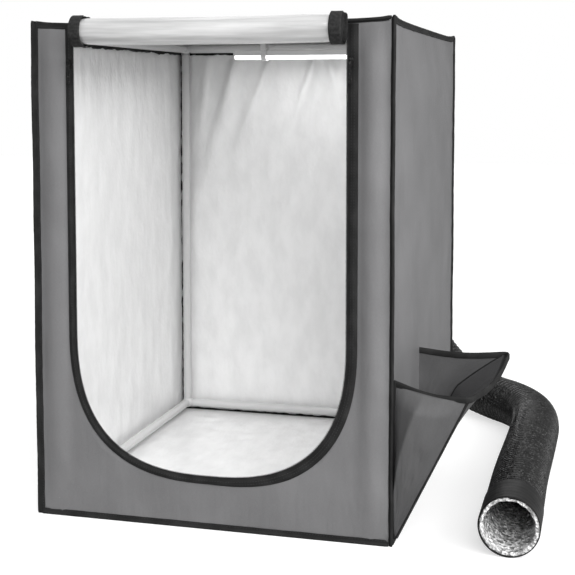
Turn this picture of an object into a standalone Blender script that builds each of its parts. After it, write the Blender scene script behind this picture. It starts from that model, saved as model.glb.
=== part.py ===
"""Soft-sided 3-D printer enclosure: tube frame, roll-up door, tool pocket, light bar and exhaust duct.

Metres, +Z up, front of the tent at -Y. The origin is the middle of the tent's floor, where it stands.
"""

import math

import bmesh
import bpy
from mathutils import Matrix, Vector

# driving dimensions
WIDTH = 0.550
DEPTH = 0.650
HEIGHT = 0.750
GAP = 0.0003  # between pieces that touch
CLOTH = 0.0020  # thickness of the coated cloth panels
BINDING = 0.009  # side of the bound seam along each edge of the box
PROUD = 0.0015  # how far a bound seam stands out of the cloth
SEAM_BEVEL = 0.0018

# tube frame
TUBE_R = 0.008
TUBE_WALL = 0.0010
TUBE_INSET = 0.017  # tube axis from the outside of the cloth
HUB_R = 0.0108
SPIGOT_R = 0.0066
SPIGOT_LENGTH = 0.042

# doorway and zip
ZIP_HALF = 0.2135  # half the distance between the two rows of teeth
ZIP_WIDTH = 0.0135
ZIP_TOP = 0.722
ZIP_CORNER_Z = 0.295  # where the straight sides turn into the rounded bottom
ZIP_DROP = 0.220
ZIP_POWER = 2.6
ZIP_CORNER_STEPS = 24
ZIP_THICK = 0.0030
TEETH_PROUD = 0.0010
SLIDER_SIZE = (0.0085, 0.0042, 0.0130)
SLIDER_Z = 0.690
PULL_HALF_WIDTH = 0.0028
PULL_HALF_THICK = 0.0010
PULL_LENGTH = 0.034
PULL_OUT = 0.0018  # hinge of the pull in front of the slider's face
PULL_DOWN = 0.0032  # and below the slider's top

# rolled-up door
ROLL_R = 0.0208
ROLL_Y = -0.3496
ROLL_Z = 0.7355
ROLL_LEFT = -0.1960
ROLL_RIGHT = 0.2100
STRAP_WIDTH = 0.018
STRAP_THICK = 0.0014
STRAP_INSET = 0.0010  # from the end of the roll
TAB_START_Y = 0.0100  # where the strap's tab leaves the roll for the front panel
TAB_DOWN = 0.0025

# tool pocket on the right wall
POCKET_FRONT = -0.3150
POCKET_BACK = -0.1320
POCKET_RIM_Z = 0.2380
POCKET_SAG = 0.0180  # how far the front outer corner of the rim hangs down
POCKET_LIFT = 0.0120  # how much higher the rim is at the back
POCKET_OUT_FRONT = 0.1080
POCKET_OUT_BACK = 0.1480
POCKET_FOOT_Z = 0.0100
POCKET_FOOT_OUT = 0.0040
RIM_HEIGHT = 0.0080
RIM_THICK = 0.0030
RIM_GAP = 0.0016  # the sloping cloth's inner face reaches higher than its outer one

# exhaust port, sleeve and duct
VENT_X = 0.155
VENT_Z = 0.540
DUCT_R = 0.0430
SLEEVE_R = 0.0450
SLEEVE_WALL = 0.0014
SLEEVE_LENGTH = 0.060
SLEEVE_INSIDE = 0.004
CLAMP_WIDTH = 0.010
CLAMP_R = 0.0470
CLAMP_BACK = 0.0180  # middle of the clamp from the sleeve's free end
SADDLE_HALF_SIZE = (0.0070, 0.0055, 0.0031)
SCREW_R = 0.0028
SCREW_RISE = 0.0050
SCREW_HALF = 0.0110
SCREW_HEAD = 0.0035
SCREW_HEAD_R = 0.0040
SLOT_DEPTH = 0.0010
SLOT_HALF = 0.0005
CUFF_R = 0.0438
CUFF_WALL = 0.0022
CUFF_LENGTH = 0.080
CUFF_GAP = 0.0012
DUCT_FLOOR_Z = 0.0440
DUCT_STEP = 0.024
DUCT_ROUTE = [
    (0.155, 0.3920, 0.539),
    (0.155, 0.420, 0.534),
    (0.155, 0.4625, 0.517),
    (0.155, 0.499, 0.489),
    (0.155, 0.527, 0.4525),
    (0.155, 0.544, 0.410),
    (0.155, 0.550, 0.365),
    (0.155, 0.550, 0.296),
    (0.162, 0.545, 0.231),
    (0.182, 0.530, 0.171),
    (0.214, 0.506, 0.119),
    (0.255, 0.475, 0.080),
    (0.302, 0.439, 0.054),
    (0.350, 0.401, 0.045),
    (0.391, 0.361, DUCT_FLOOR_Z),
    (0.420, 0.315, DUCT_FLOOR_Z),
    (0.438, 0.263, DUCT_FLOOR_Z),
    (0.444, 0.207, DUCT_FLOOR_Z),
    (0.4440, 0.145, DUCT_FLOOR_Z),
    (0.4430, 0.080, DUCT_FLOOR_Z),
    (0.4415, 0.010, DUCT_FLOOR_Z),
    (0.4400, -0.060, DUCT_FLOOR_Z),
    (0.4395, -0.130, DUCT_FLOOR_Z),
    (0.4400, -0.190, DUCT_FLOOR_Z),
    (0.4400, -0.2450, DUCT_FLOOR_Z),
]

# power-lead port low in the back wall
PORT_X = 0.150
PORT_Z = 0.085
PORT_SIZE = (0.060, 0.036)
FLAP_SIZE = (0.084, 0.0020, 0.058)
FLAP_OUT = 0.0010  # how far the flap hangs off the wall

# light bar under the roof
LIGHT_LENGTH = 0.300
LIGHT_X = 0.020
LIGHT_Y = 0.225
LIGHT_Z = 0.7175
LIGHT_HALF = 0.0085
DIFFUSER_R = 0.0075
END_CAP = 0.004
LOOP_HALF = 0.0105  # half the width of the cloth loops that hold the bar
LOOP_DOWN = 0.0110
LOOP_THICK = 0.0018

ROUND = 20  # sides of a tube
ROUND_WIDE = 32  # sides of a roll, sleeve or band
PAST = 0.01  # how far a cutter runs past what it cuts


# ---------------------------------------------------------------- helpers
def clear_scene():
    for thing in list(bpy.data.objects):
        bpy.data.objects.remove(thing, do_unlink=True)


def finish_material(name, colour, roughness, metallic=0.0):
    material = bpy.data.materials.new(name)
    material.use_nodes = True
    shader = material.node_tree.nodes["Principled BSDF"]
    shader.inputs["Base Color"].default_value = (*colour, 1.0)
    shader.inputs["Roughness"].default_value = roughness
    shader.inputs["Metallic"].default_value = metallic
    return material


def add_object(name, mesh, material, location=(0, 0, 0), parent=None):
    piece = bpy.data.objects.new(name, mesh)
    bpy.context.scene.collection.objects.link(piece)
    piece.location = location
    piece.parent = parent
    if material.name not in mesh.materials:
        mesh.materials.append(material)
    return piece


def mesh_from(name, bm, smooth_angle=None):
    bmesh.ops.recalc_face_normals(bm, faces=bm.faces)
    mesh = bpy.data.meshes.new(name)
    bm.to_mesh(mesh)
    bm.free()
    if smooth_angle is not None:
        mesh.shade_smooth()
        mesh.set_sharp_from_angle(angle=math.radians(smooth_angle))
    return mesh


def box_mesh(name, low, high, bevel=0.0):
    """A box between two corners, its edges broken by one bevel."""
    low, high = Vector(low), Vector(high)
    bm = bmesh.new()
    bmesh.ops.create_cube(bm, size=1.0)
    bmesh.ops.scale(bm, vec=high - low, verts=bm.verts)
    bmesh.ops.translate(bm, vec=(low + high) / 2, verts=bm.verts)
    if bevel:
        bmesh.ops.bevel(bm, geom=bm.edges, offset=bevel, segments=1, affect="EDGES")
    return mesh_from(name, bm)


def plate_mesh(name, outline, holes, origin, across, up, thickness):
    """A flat plate with holes: outlines are (across, up) points, and the thickness goes along across x up."""
    bm = bmesh.new()
    edges = []
    for loop in [outline, *holes]:
        verts = [bm.verts.new(origin + across * a + up * b) for a, b in loop]
        edges += [bm.edges.new((verts[i], verts[(i + 1) % len(verts)])) for i in range(len(verts))]
    bmesh.ops.triangle_fill(bm, edges=edges, use_beauty=True, normal=across.cross(up))
    grown = bmesh.ops.extrude_face_region(bm, geom=bm.faces[:])
    moved = [item for item in grown["geom"] if isinstance(item, bmesh.types.BMVert)]
    bmesh.ops.translate(bm, vec=across.cross(up) * thickness, verts=moved)
    return mesh_from(name, bm)


def ring_mesh(name, outer, inner, low, high, sides=ROUND):
    """A straight tube along Z between two heights, its bore open at both ends."""
    bm = bmesh.new()
    rings = []
    for radius, z in ((outer, low), (outer, high), (inner, high), (inner, low)):
        angles = [2 * math.pi * i / sides for i in range(sides)]
        rings.append([bm.verts.new((radius * math.cos(a), radius * math.sin(a), z)) for a in angles])
    for k, ring in enumerate(rings):
        following = rings[(k + 1) % 4]
        for i in range(sides):
            j = (i + 1) % sides
            bm.faces.new((ring[i], ring[j], following[j], following[i]))
    return mesh_from(name, bm, smooth_angle=40)


def rod_mesh(name, radius, low, high, sides=ROUND, bevel=0.0):
    """A solid round rod along Z between two heights, its rims broken by a bevel."""
    bm = bmesh.new()
    bmesh.ops.create_cone(bm, cap_ends=True, segments=sides, radius1=radius, radius2=radius, depth=high - low)
    bmesh.ops.translate(bm, vec=(0, 0, (low + high) / 2), verts=bm.verts)
    if bevel:
        rims = [edge for edge in bm.edges if abs(edge.verts[0].co.z - edge.verts[1].co.z) < 1e-6]
        bmesh.ops.bevel(bm, geom=rims, offset=bevel, segments=1, affect="EDGES")
    return mesh_from(name, bm, smooth_angle=40)


def turn(mesh, axis):
    """Lays a mesh that was made along Z along X or Y instead."""
    if axis == "X":
        mesh.transform(Matrix.Rotation(math.radians(90), 4, "Y"))
    if axis == "Y":
        mesh.transform(Matrix.Rotation(math.radians(-90), 4, "X"))
    return mesh


def union(piece, others):
    """Joins other objects into a piece and removes them."""
    for other in others:
        modifier = piece.modifiers.new("union", "BOOLEAN")
        modifier.operation = "UNION"
        modifier.object = other
    bpy.context.view_layer.update()
    joined = bpy.data.meshes.new_from_object(piece.evaluated_get(bpy.context.evaluated_depsgraph_get()))
    piece.modifiers.clear()
    piece.data = joined
    for other in others:
        bpy.data.objects.remove(other, do_unlink=True)


# ---------------------------------------------------------------- shared outlines
def zip_line(offset, top):
    """The doorway's U, moved outwards by an offset, from its upper left end round to its upper right end."""
    half, drop = ZIP_HALF + offset, ZIP_DROP + offset
    points = [(-half, top)]
    for i in range(ZIP_CORNER_STEPS + 1):
        angle = math.pi + math.pi * i / ZIP_CORNER_STEPS
        c, s = math.cos(angle), math.sin(angle)
        x = half * math.copysign(abs(c) ** (2 / ZIP_POWER), c)
        z = ZIP_CORNER_Z - drop * abs(s) ** (2 / ZIP_POWER)
        points.append((x, z))
    points.append((half, top))
    return points


def circle(x, z, radius, sides=ROUND_WIDE):
    return [
        (x + radius * math.cos(2 * math.pi * i / sides), z + radius * math.sin(2 * math.pi * i / sides))
        for i in range(sides)
    ]


def smooth_route(points, step):
    """Points a step apart along a Catmull-Rom curve through the route's own points."""
    points = [Vector(p) for p in points]
    ends = [points[0] * 2 - points[1], *points, points[-1] * 2 - points[-2]]
    fine = []
    for a, b, c, d in zip(ends, ends[1:], ends[2:], ends[3:]):
        for i in range(40):
            t = i / 40
            square, cube = 2 * a - 5 * b + 4 * c - d, 3 * b - a - 3 * c + d
            fine.append(0.5 * (2 * b + (c - a) * t + square * t**2 + cube * t**3))
    fine.append(points[-1])
    total = sum((q - p).length for p, q in zip(fine, fine[1:]))
    count = round(total / step)
    spaced, walked, target = [fine[0]], 0.0, total / count
    for p, q in zip(fine, fine[1:]):
        length = (q - p).length
        while walked + length >= target and len(spaced) < count:
            spaced.append(p.lerp(q, (target - walked) / length))
            target += total / count
        walked += length
    spaced.append(fine[-1])
    return spaced


# ---------------------------------------------------------------- tube frame
def make_frame(steel, plastic):
    half_x, half_y = WIDTH / 2 - TUBE_INSET, DEPTH / 2 - TUBE_INSET
    low_z, high_z = TUBE_INSET, HEIGHT - TUBE_INSET
    start = HUB_R + GAP
    tubes = {"X": half_x * 2, "Y": half_y * 2, "Z": high_z - low_z}
    meshes = {}
    for axis, length in tubes.items():
        end = length / 2 - start
        meshes[axis] = turn(ring_mesh("tube_" + axis, TUBE_R, TUBE_R - TUBE_WALL, -end, end), axis)
    for side, y in (("front", -half_y), ("back", half_y)):
        for hand, x in (("left", -half_x), ("right", half_x)):
            add_object(f"post_{side}_{hand}", meshes["Z"], steel, (x, y, HEIGHT / 2))
        for level, z in (("base", low_z), ("top", high_z)):
            add_object(f"{level}_rail_{side}", meshes["X"], steel, (0, y, z))
    for hand, x in (("left", -half_x), ("right", half_x)):
        for level, z in (("base", low_z), ("top", high_z)):
            add_object(f"{level}_rail_{hand}", meshes["Y"], steel, (x, 0, z))
    for level, z in (("base", low_z), ("top", high_z)):
        for side, y in (("front", -half_y), ("back", half_y)):
            for hand, x in (("left", -half_x), ("right", half_x)):
                make_corner(f"corner_{level}_{side}_{hand}", plastic, Vector((x, y, z)))


def make_corner(name, plastic, centre):
    """A ball hub with three spigots that plug into the tubes, pointing to the middle of the tent."""
    bm = bmesh.new()
    bmesh.ops.create_uvsphere(bm, u_segments=12, v_segments=7, radius=HUB_R)
    hub = add_object(name, mesh_from(name, bm, smooth_angle=40), plastic)
    spigots = []
    for axis, place in (("X", -centre.x), ("Y", -centre.y), ("Z", HEIGHT / 2 - centre.z)):
        mesh = rod_mesh("spigot", SPIGOT_R, 0.0, SPIGOT_LENGTH, sides=10)
        if place < 0:
            mesh.transform(Matrix.Scale(-1, 4, Vector((0, 0, 1))))
            mesh.flip_normals()
        spigots.append(add_object("spigot_" + axis, turn(mesh, axis), plastic))
    union(hub, spigots)
    hub.location = centre


# ---------------------------------------------------------------- cloth cover
def make_panels(cloth):
    reach_x = WIDTH / 2 - BINDING - GAP
    reach_y = DEPTH / 2 - BINDING - GAP
    low_z, high_z = BINDING + GAP, HEIGHT - BINDING - GAP
    x_axis, y_axis, z_axis = Vector((1, 0, 0)), Vector((0, 1, 0)), Vector((0, 0, 1))

    def rectangle(half, low, high):
        return [(-half, low), (half, low), (half, high), (-half, high)]

    edge = ZIP_WIDTH / 2 + GAP
    doorway = zip_line(edge, ZIP_TOP + GAP)
    front = plate_mesh(
        "front_panel", rectangle(reach_x, low_z, high_z), [doorway], Vector((0, CLOTH - DEPTH / 2, 0)),
        x_axis, z_axis, CLOTH,
    )
    add_object("front_panel", front, cloth)
    port_x, port_z = PORT_SIZE[0] / 2, PORT_SIZE[1] / 2
    port = [
        (PORT_X + port_x * math.copysign(abs(math.cos(a)) ** 0.5, math.cos(a)),
         PORT_Z + port_z * math.copysign(abs(math.sin(a)) ** 0.5, math.sin(a)))
        for a in [2 * math.pi * (i + 0.5) / 16 for i in range(16)]
    ]
    vent = circle(VENT_X, VENT_Z, SLEEVE_R + GAP)
    back = plate_mesh(
        "back_panel", rectangle(reach_x, low_z, high_z), [vent, port], Vector((0, DEPTH / 2, 0)),
        x_axis, z_axis, CLOTH,
    )
    add_object("back_panel", back, cloth)
    left = WIDTH / 2
    for name, x in (("left_panel", -left), ("right_panel", left - CLOTH)):
        mesh = box_mesh(name, (x, -reach_y, low_z), (x + CLOTH, reach_y, high_z))
        add_object(name, mesh, cloth)
    for name, z in (("floor_panel", 0.0), ("top_panel", HEIGHT - CLOTH)):
        mesh = box_mesh(name, (-reach_x, -reach_y, z), (reach_x, reach_y, z + CLOTH))
        add_object(name, mesh, cloth)


def make_bindings(tape):
    """Bound seams along the twelve edges: the upright ones run full height, the others between them."""
    inner_x, outer_x = WIDTH / 2 - BINDING, WIDTH / 2 + PROUD
    inner_y, outer_y = DEPTH / 2 - BINDING, DEPTH / 2 + PROUD
    upright = box_mesh("upright", (inner_x, inner_y, 0), (outer_x, outer_y, HEIGHT + PROUD), bevel=SEAM_BEVEL)
    for side, mirror_y in (("front", -1), ("back", 1)):
        for hand, mirror_x in (("left", -1), ("right", 1)):
            mesh = upright.copy()
            mesh.transform(Matrix.Diagonal((mirror_x, mirror_y, 1, 1)))
            if mirror_x * mirror_y < 0:
                mesh.flip_normals()
            add_object(f"binding_{side}_{hand}", mesh, tape)
    levels = (("base", 0.0, BINDING), ("top", HEIGHT - BINDING, HEIGHT + PROUD))
    for level, low, high in levels:
        for side, near, far in (("front", -outer_y, -inner_y), ("back", inner_y, outer_y)):
            name = f"binding_{level}_{side}"
            mesh = box_mesh(name, (GAP - inner_x, near, low), (inner_x - GAP, far, high), bevel=SEAM_BEVEL)
            add_object(name, mesh, tape)
        for hand, near, far in (("left", -outer_x, -inner_x), ("right", inner_x, outer_x)):
            name = f"binding_{level}_{hand}"
            mesh = box_mesh(name, (near, GAP - inner_y, low), (far, inner_y - GAP, high), bevel=SEAM_BEVEL)
            add_object(name, mesh, tape)


# ---------------------------------------------------------------- doorway
def make_zip(tape, metal):
    outer = zip_line(ZIP_WIDTH / 2, ZIP_TOP)
    inner = zip_line(-ZIP_WIDTH / 2, ZIP_TOP)
    front = -DEPTH / 2 - TEETH_PROUD
    mesh = plate_mesh(
        "zip_tape", [*outer, *reversed(inner)], [], Vector((0, front + ZIP_THICK, 0)),
        Vector((1, 0, 0)), Vector((0, 0, 1)), ZIP_THICK,
    )
    add_object("zip_tape", mesh, tape)
    wide, deep, tall = SLIDER_SIZE
    face = front - GAP
    for hand, x in (("left", -ZIP_HALF), ("right", ZIP_HALF)):
        slider = add_object(
            "zip_slider_" + hand,
            box_mesh("slider", (-wide / 2, -deep, -tall / 2), (wide / 2, 0, tall / 2), bevel=0.0012),
            metal, (x, face, SLIDER_Z),
        )
        # the pull hangs from the slider's front, clear of it, and swings about its own top edge
        hinge = (0, -deep - PULL_OUT, tall / 2 - PULL_DOWN)
        half, thick = PULL_HALF_WIDTH, PULL_HALF_THICK
        pull = box_mesh("pull", (-half, -thick, -PULL_LENGTH), (half, thick, thick), bevel=0.0006)
        add_object("zip_pull_" + hand, pull, metal, hinge, slider)


def make_door_roll(cloth, tape):
    middle = (0, ROLL_Y, ROLL_Z)
    roll = turn(rod_mesh("door_roll", ROLL_R, ROLL_LEFT, ROLL_RIGHT, ROUND_WIDE, bevel=0.002), "X")
    add_object("door_roll", roll, cloth, middle)
    inner = ROLL_R + GAP
    back = -DEPTH / 2 - GAP - PROUD - ROLL_Y
    tab_top = inner - TAB_DOWN
    for hand, low in (("left", ROLL_LEFT + STRAP_INSET), ("right", ROLL_RIGHT - STRAP_INSET - STRAP_WIDTH)):
        high = low + STRAP_WIDTH
        ring = ring_mesh("strap", inner + STRAP_THICK, inner, low, high, ROUND_WIDE)
        strap = add_object("roll_strap_" + hand, turn(ring, "X"), tape)
        # the tab is a little narrower than the ring, so that no two faces of the two lie in one plane
        tab_low = (low + STRAP_INSET, TAB_START_Y, tab_top - STRAP_THICK)
        tab = box_mesh("tab", tab_low, (high - STRAP_INSET, back, tab_top))
        bore = turn(rod_mesh("bore", inner + STRAP_THICK / 2, low - PAST, high + PAST, ROUND_WIDE), "X")
        tab_piece = add_object("tab", tab, tape)
        cut(tab_piece, add_object("bore", bore, tape))
        union(strap, [tab_piece])
        strap.location = middle


def cut(piece, cutter):
    """Takes a cutter's shape out of a piece and removes the cutter."""
    modifier = piece.modifiers.new("cut", "BOOLEAN")
    modifier.operation = "DIFFERENCE"
    modifier.object = cutter
    bpy.context.view_layer.update()
    left = bpy.data.meshes.new_from_object(piece.evaluated_get(bpy.context.evaluated_depsgraph_get()))
    piece.modifiers.clear()
    piece.data = left
    bpy.data.objects.remove(cutter, do_unlink=True)


# ---------------------------------------------------------------- tool pocket
def pocket_outline(drop):
    """The pouch's four rim corners, front wall end round to back, lowered by a drop, and its foot."""
    wall = WIDTH / 2 + GAP
    share = 1 - drop / (POCKET_RIM_Z - POCKET_FOOT_Z)
    rim = [
        Vector((wall, POCKET_FRONT, POCKET_RIM_Z - drop)),
        Vector((wall + POCKET_OUT_FRONT * share, POCKET_FRONT, POCKET_RIM_Z - POCKET_SAG - drop)),
        Vector((wall + POCKET_OUT_BACK * share, POCKET_BACK, POCKET_RIM_Z + POCKET_LIFT - drop)),
        Vector((wall, POCKET_BACK, POCKET_RIM_Z + POCKET_LIFT - drop)),
    ]
    foot = [Vector((wall, POCKET_FRONT, POCKET_FOOT_Z)), Vector((wall, POCKET_BACK, POCKET_FOOT_Z))]
    return rim, foot


def surface_mesh(name, corners, faces):
    bm = bmesh.new()
    verts = [bm.verts.new(c) for c in corners]
    for face in faces:
        bm.faces.new([verts[i] for i in face])
    mesh = bpy.data.meshes.new(name)
    bm.to_mesh(mesh)
    bm.free()
    return mesh


def make_pocket(cloth, tape):
    rim, foot = pocket_outline(RIM_HEIGHT + RIM_GAP)
    lip = Vector((POCKET_FOOT_OUT, 0, 0))
    corners = [*rim, *foot, foot[0] + lip, foot[1] + lip]
    faces = [(0, 4, 6, 1), (1, 6, 7, 2), (2, 7, 5, 3)]
    pouch = add_object("pocket_pouch", surface_mesh("pocket_pouch", corners, faces), cloth)
    thicken(pouch, CLOTH)
    low, _ = pocket_outline(RIM_HEIGHT)
    high, _ = pocket_outline(0.0)
    faces = [(0, 1, 5, 4), (1, 2, 6, 5), (2, 3, 7, 6)]
    rim_piece = add_object("pocket_rim", surface_mesh("pocket_rim", [*low, *high], faces), tape)
    thicken(rim_piece, RIM_THICK)


def thicken(piece, thickness):
    modifier = piece.modifiers.new("cloth", "SOLIDIFY")
    modifier.thickness = thickness
    modifier.offset = -1
    modifier.use_even_offset = True
    bpy.context.view_layer.update()


# ---------------------------------------------------------------- exhaust
def make_exhaust(cloth, metal, duct_black, cuff_black):
    wall = DEPTH / 2
    bore = SLEEVE_R - SLEEVE_WALL
    sleeve = ring_mesh("vent_sleeve", SLEEVE_R, bore, -SLEEVE_INSIDE, SLEEVE_LENGTH, ROUND_WIDE)
    add_object("vent_sleeve", turn(sleeve, "Y"), cloth, (VENT_X, wall, VENT_Z))
    clamp_y = wall + SLEEVE_LENGTH - CLAMP_BACK
    half = CLAMP_WIDTH / 2
    band = ring_mesh("clamp_band", CLAMP_R, SLEEVE_R + GAP, -half, half, ROUND_WIDE)
    clamp = add_object("clamp_band", turn(band, "Y"), metal)
    # the saddle starts inside the band's thickness and wraps the screw's lower half
    wide, deep, tall = SADDLE_HALF_SIZE
    saddle_low = (SLEEVE_R + CLAMP_R) / 2
    saddle_mesh = box_mesh("saddle", (-wide, -deep, saddle_low), (wide, deep, CLAMP_R + 2 * tall))
    saddle = add_object("saddle", saddle_mesh, metal)
    screw_z = CLAMP_R + SCREW_RISE
    channel = turn(rod_mesh("channel", SCREW_R + GAP, -2 * PAST, 2 * PAST, 16), "X")
    channel.transform(Matrix.Translation((0, 0, screw_z)))
    cut(saddle, add_object("channel", channel, metal))
    union(clamp, [saddle])
    clamp.location = (VENT_X, clamp_y, VENT_Z)
    screw = turn(rod_mesh("clamp_screw", SCREW_R, -SCREW_HALF, SCREW_HALF, 12), "X")
    head_end = SCREW_HALF + SCREW_HEAD
    head = turn(rod_mesh("head", SCREW_HEAD_R, SCREW_HALF - GAP, head_end, 6), "X")
    screw_piece = add_object("clamp_screw", screw, metal)
    union(screw_piece, [add_object("head", head, metal)])
    slot = box_mesh("slot", (head_end - SLOT_DEPTH, -SLOT_HALF, -PAST), (head_end + PAST, SLOT_HALF, PAST))
    cut(screw_piece, add_object("slot", slot, metal))
    screw_piece.location = (VENT_X, clamp_y, VENT_Z + screw_z)

    curve = bpy.data.curves.new("exhaust_duct", "CURVE")
    curve.dimensions = "3D"
    curve.bevel_depth = DUCT_R
    curve.bevel_resolution = 4
    curve.use_fill_caps = True
    spaced = smooth_route(DUCT_ROUTE, DUCT_STEP)
    spline = curve.splines.new("POLY")
    spline.points.add(len(spaced) - 1)
    for point, place in zip(spline.points, spaced):
        point.co = (*place, 1)
    duct = bpy.data.objects.new("exhaust_duct", curve)
    bpy.context.scene.collection.objects.link(duct)
    curve.materials.append(duct_black)

    end = Vector(DUCT_ROUTE[-1])
    cuff = turn(ring_mesh("duct_cuff", CUFF_R, CUFF_R - CUFF_WALL, -CUFF_LENGTH, -CUFF_GAP, ROUND_WIDE), "Y")
    add_object("duct_cuff", cuff, cuff_black, end)


def make_cable_port(cloth):
    """A cloth flap over the lead port, sewn along its upper edge, outside the back wall."""
    wide, thick, tall = FLAP_SIZE
    flap = box_mesh("cable_flap", (-wide / 2, 0, -tall), (wide / 2, thick, 0), bevel=0.0006)
    add_object("cable_flap", flap, cloth, (PORT_X, DEPTH / 2 + FLAP_OUT, PORT_Z + tall / 2))


# ---------------------------------------------------------------- light bar
def make_light(aluminium, diffuser, tape):
    half = LIGHT_LENGTH / 2
    tray_low, tray_high = LIGHT_Z - 0.001, LIGHT_Z + LIGHT_HALF
    tray_start = (LIGHT_X - half, LIGHT_Y - DIFFUSER_R, tray_low)
    tray_end = (LIGHT_X + half, LIGHT_Y + DIFFUSER_R, tray_high)
    add_object("light_tray", box_mesh("light_tray", tray_start, tray_end, bevel=0.0008), aluminium)
    steps = 10
    inner = half - END_CAP
    bm = bmesh.new()
    profile = [
        (DIFFUSER_R * math.cos(math.pi * i / steps), -DIFFUSER_R * math.sin(math.pi * i / steps))
        for i in range(steps + 1)
    ]
    ends = []
    for x in (LIGHT_X - inner, LIGHT_X + inner):
        ends.append([bm.verts.new((x, LIGHT_Y + y, tray_low - GAP + z)) for y, z in profile])
    bm.faces.new(ends[0])
    bm.faces.new(reversed(ends[1]))
    for i in range(steps + 1):
        j = (i + 1) % (steps + 1)
        bm.faces.new((ends[0][i], ends[0][j], ends[1][j], ends[1][i]))
    add_object("light_diffuser", mesh_from("light_diffuser", bm, smooth_angle=40), diffuser)
    for hand, share in (("left", -0.6), ("right", 0.6)):
        x = LIGHT_X + half * share
        roof, low = HEIGHT - CLOTH - GAP, LIGHT_Z - LOOP_DOWN
        outside = (x - LOOP_HALF, LIGHT_Y - LOOP_HALF, low), (x + LOOP_HALF, LIGHT_Y + LOOP_HALF, roof)
        strap = add_object("light_strap_" + hand, box_mesh("strap", *outside), tape)
        wide, hole = LOOP_HALF + PAST, LOOP_HALF - LOOP_THICK
        inside = (x - wide, LIGHT_Y - hole, low + LOOP_THICK), (x + wide, LIGHT_Y + hole, roof - LOOP_THICK)
        cut(strap, add_object("hollow", box_mesh("hollow", *inside), tape))


def main():
    clear_scene()
    outer_cloth = finish_material("outer_cloth", (0.20, 0.20, 0.21), 0.75)
    liner_cloth = finish_material("liner_cloth", (0.80, 0.80, 0.81), 0.35, 0.2)
    tape = finish_material("tape", (0.015, 0.015, 0.016), 0.80)
    steel = finish_material("white_steel", (0.82, 0.82, 0.82), 0.35)
    plastic = finish_material("hub_plastic", (0.70, 0.70, 0.70), 0.45)
    zinc = finish_material("black_zinc", (0.03, 0.03, 0.03), 0.40, 0.8)
    bright = finish_material("bright_steel", (0.60, 0.60, 0.60), 0.30, 1.0)
    aluminium = finish_material("aluminium", (0.75, 0.75, 0.76), 0.35, 1.0)
    diffuser = finish_material("diffuser", (0.95, 0.95, 0.95), 0.40)
    duct_black = finish_material("duct_film", (0.02, 0.02, 0.02), 0.35)
    cuff_black = finish_material("cuff_cloth", (0.02, 0.02, 0.02), 0.55)
    make_frame(steel, plastic)
    make_panels(outer_cloth)
    make_bindings(tape)
    make_zip(tape, zinc)
    make_door_roll(liner_cloth, tape)
    make_pocket(outer_cloth, tape)
    make_exhaust(outer_cloth, bright, duct_black, cuff_black)
    make_cable_port(outer_cloth)
    make_light(aluminium, diffuser, tape)


main()
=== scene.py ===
"""Materials, cloth, cords and light for a soft-sided 3-D printer enclosure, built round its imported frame.

Metres, +Z up. The front of the tent is at -Y, and the sections follow the tent as it is put together.
"""

import math

import bmesh
import bpy
import numpy as np
from mathutils import Matrix, Vector, noise


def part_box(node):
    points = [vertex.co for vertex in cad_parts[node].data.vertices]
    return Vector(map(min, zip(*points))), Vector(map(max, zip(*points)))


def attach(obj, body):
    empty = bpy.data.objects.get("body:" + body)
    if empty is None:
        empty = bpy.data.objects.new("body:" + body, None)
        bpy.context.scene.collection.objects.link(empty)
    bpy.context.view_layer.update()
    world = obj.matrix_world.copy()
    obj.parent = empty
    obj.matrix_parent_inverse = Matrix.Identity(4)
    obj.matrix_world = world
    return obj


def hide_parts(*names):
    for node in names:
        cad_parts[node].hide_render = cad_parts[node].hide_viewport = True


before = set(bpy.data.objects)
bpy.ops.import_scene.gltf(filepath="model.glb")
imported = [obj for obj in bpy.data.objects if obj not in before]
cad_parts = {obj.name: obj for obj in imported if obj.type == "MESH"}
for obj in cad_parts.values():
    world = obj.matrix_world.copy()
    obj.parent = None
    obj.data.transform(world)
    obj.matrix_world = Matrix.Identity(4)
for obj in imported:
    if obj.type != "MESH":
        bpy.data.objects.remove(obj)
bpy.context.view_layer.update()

# ================================================================ camera
# A long lens at about the height of the roof, off to the right and tipped a little down, with its frame
# shifted down so that the upright edges stay close to parallel.
camera_data = bpy.data.cameras.new("camera")
camera_data.lens = 75.9
camera_data.sensor_width = 36.0
camera_data.shift_y = -0.18
camera = bpy.data.objects.new("camera", camera_data)
camera.location = (0.5667, -1.9930, 0.6475)
camera.rotation_euler = (math.radians(90 - 4.33), 0, math.radians(14.94))
bpy.context.scene.collection.objects.link(camera)
bpy.context.scene.camera = camera


# ================================================================ exhaust duct
# The duct is black film and silver foil over a spring-wire coil, 86 mm across and 1.5 m long. It leaves the
# sleeve in the back wall, drops to the floor, comes round the corner and runs forward beside the tent to
# its cuffed open end.
class Value:
    """A number that varies over a surface. Arithmetic on it adds Math nodes to its material."""

    def __init__(self, finish, socket):
        self.finish = finish
        self.socket = socket

    def math(self, operation, *terms):
        return self.finish.node("ShaderNodeMath", {"operation": operation}, dict(enumerate(terms)))

    def __add__(self, other):
        return self.math("ADD", self, other)

    def __radd__(self, other):
        return self.math("ADD", other, self)

    def __sub__(self, other):
        return self.math("SUBTRACT", self, other)

    def __rsub__(self, other):
        return self.math("SUBTRACT", other, self)

    def __mul__(self, other):
        return self.math("MULTIPLY", self, other)

    def __rmul__(self, other):
        return self.math("MULTIPLY", other, self)

    def sine(self):
        return self.math("SINE", self)

    def step(self, low, high):
        """0 below low, 1 above high and smooth between."""
        settings = {"interpolation_type": "SMOOTHSTEP"}
        return self.finish.node("ShaderNodeMapRange", settings,
                                {"Value": self, "From Min": low, "From Max": high})


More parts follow.
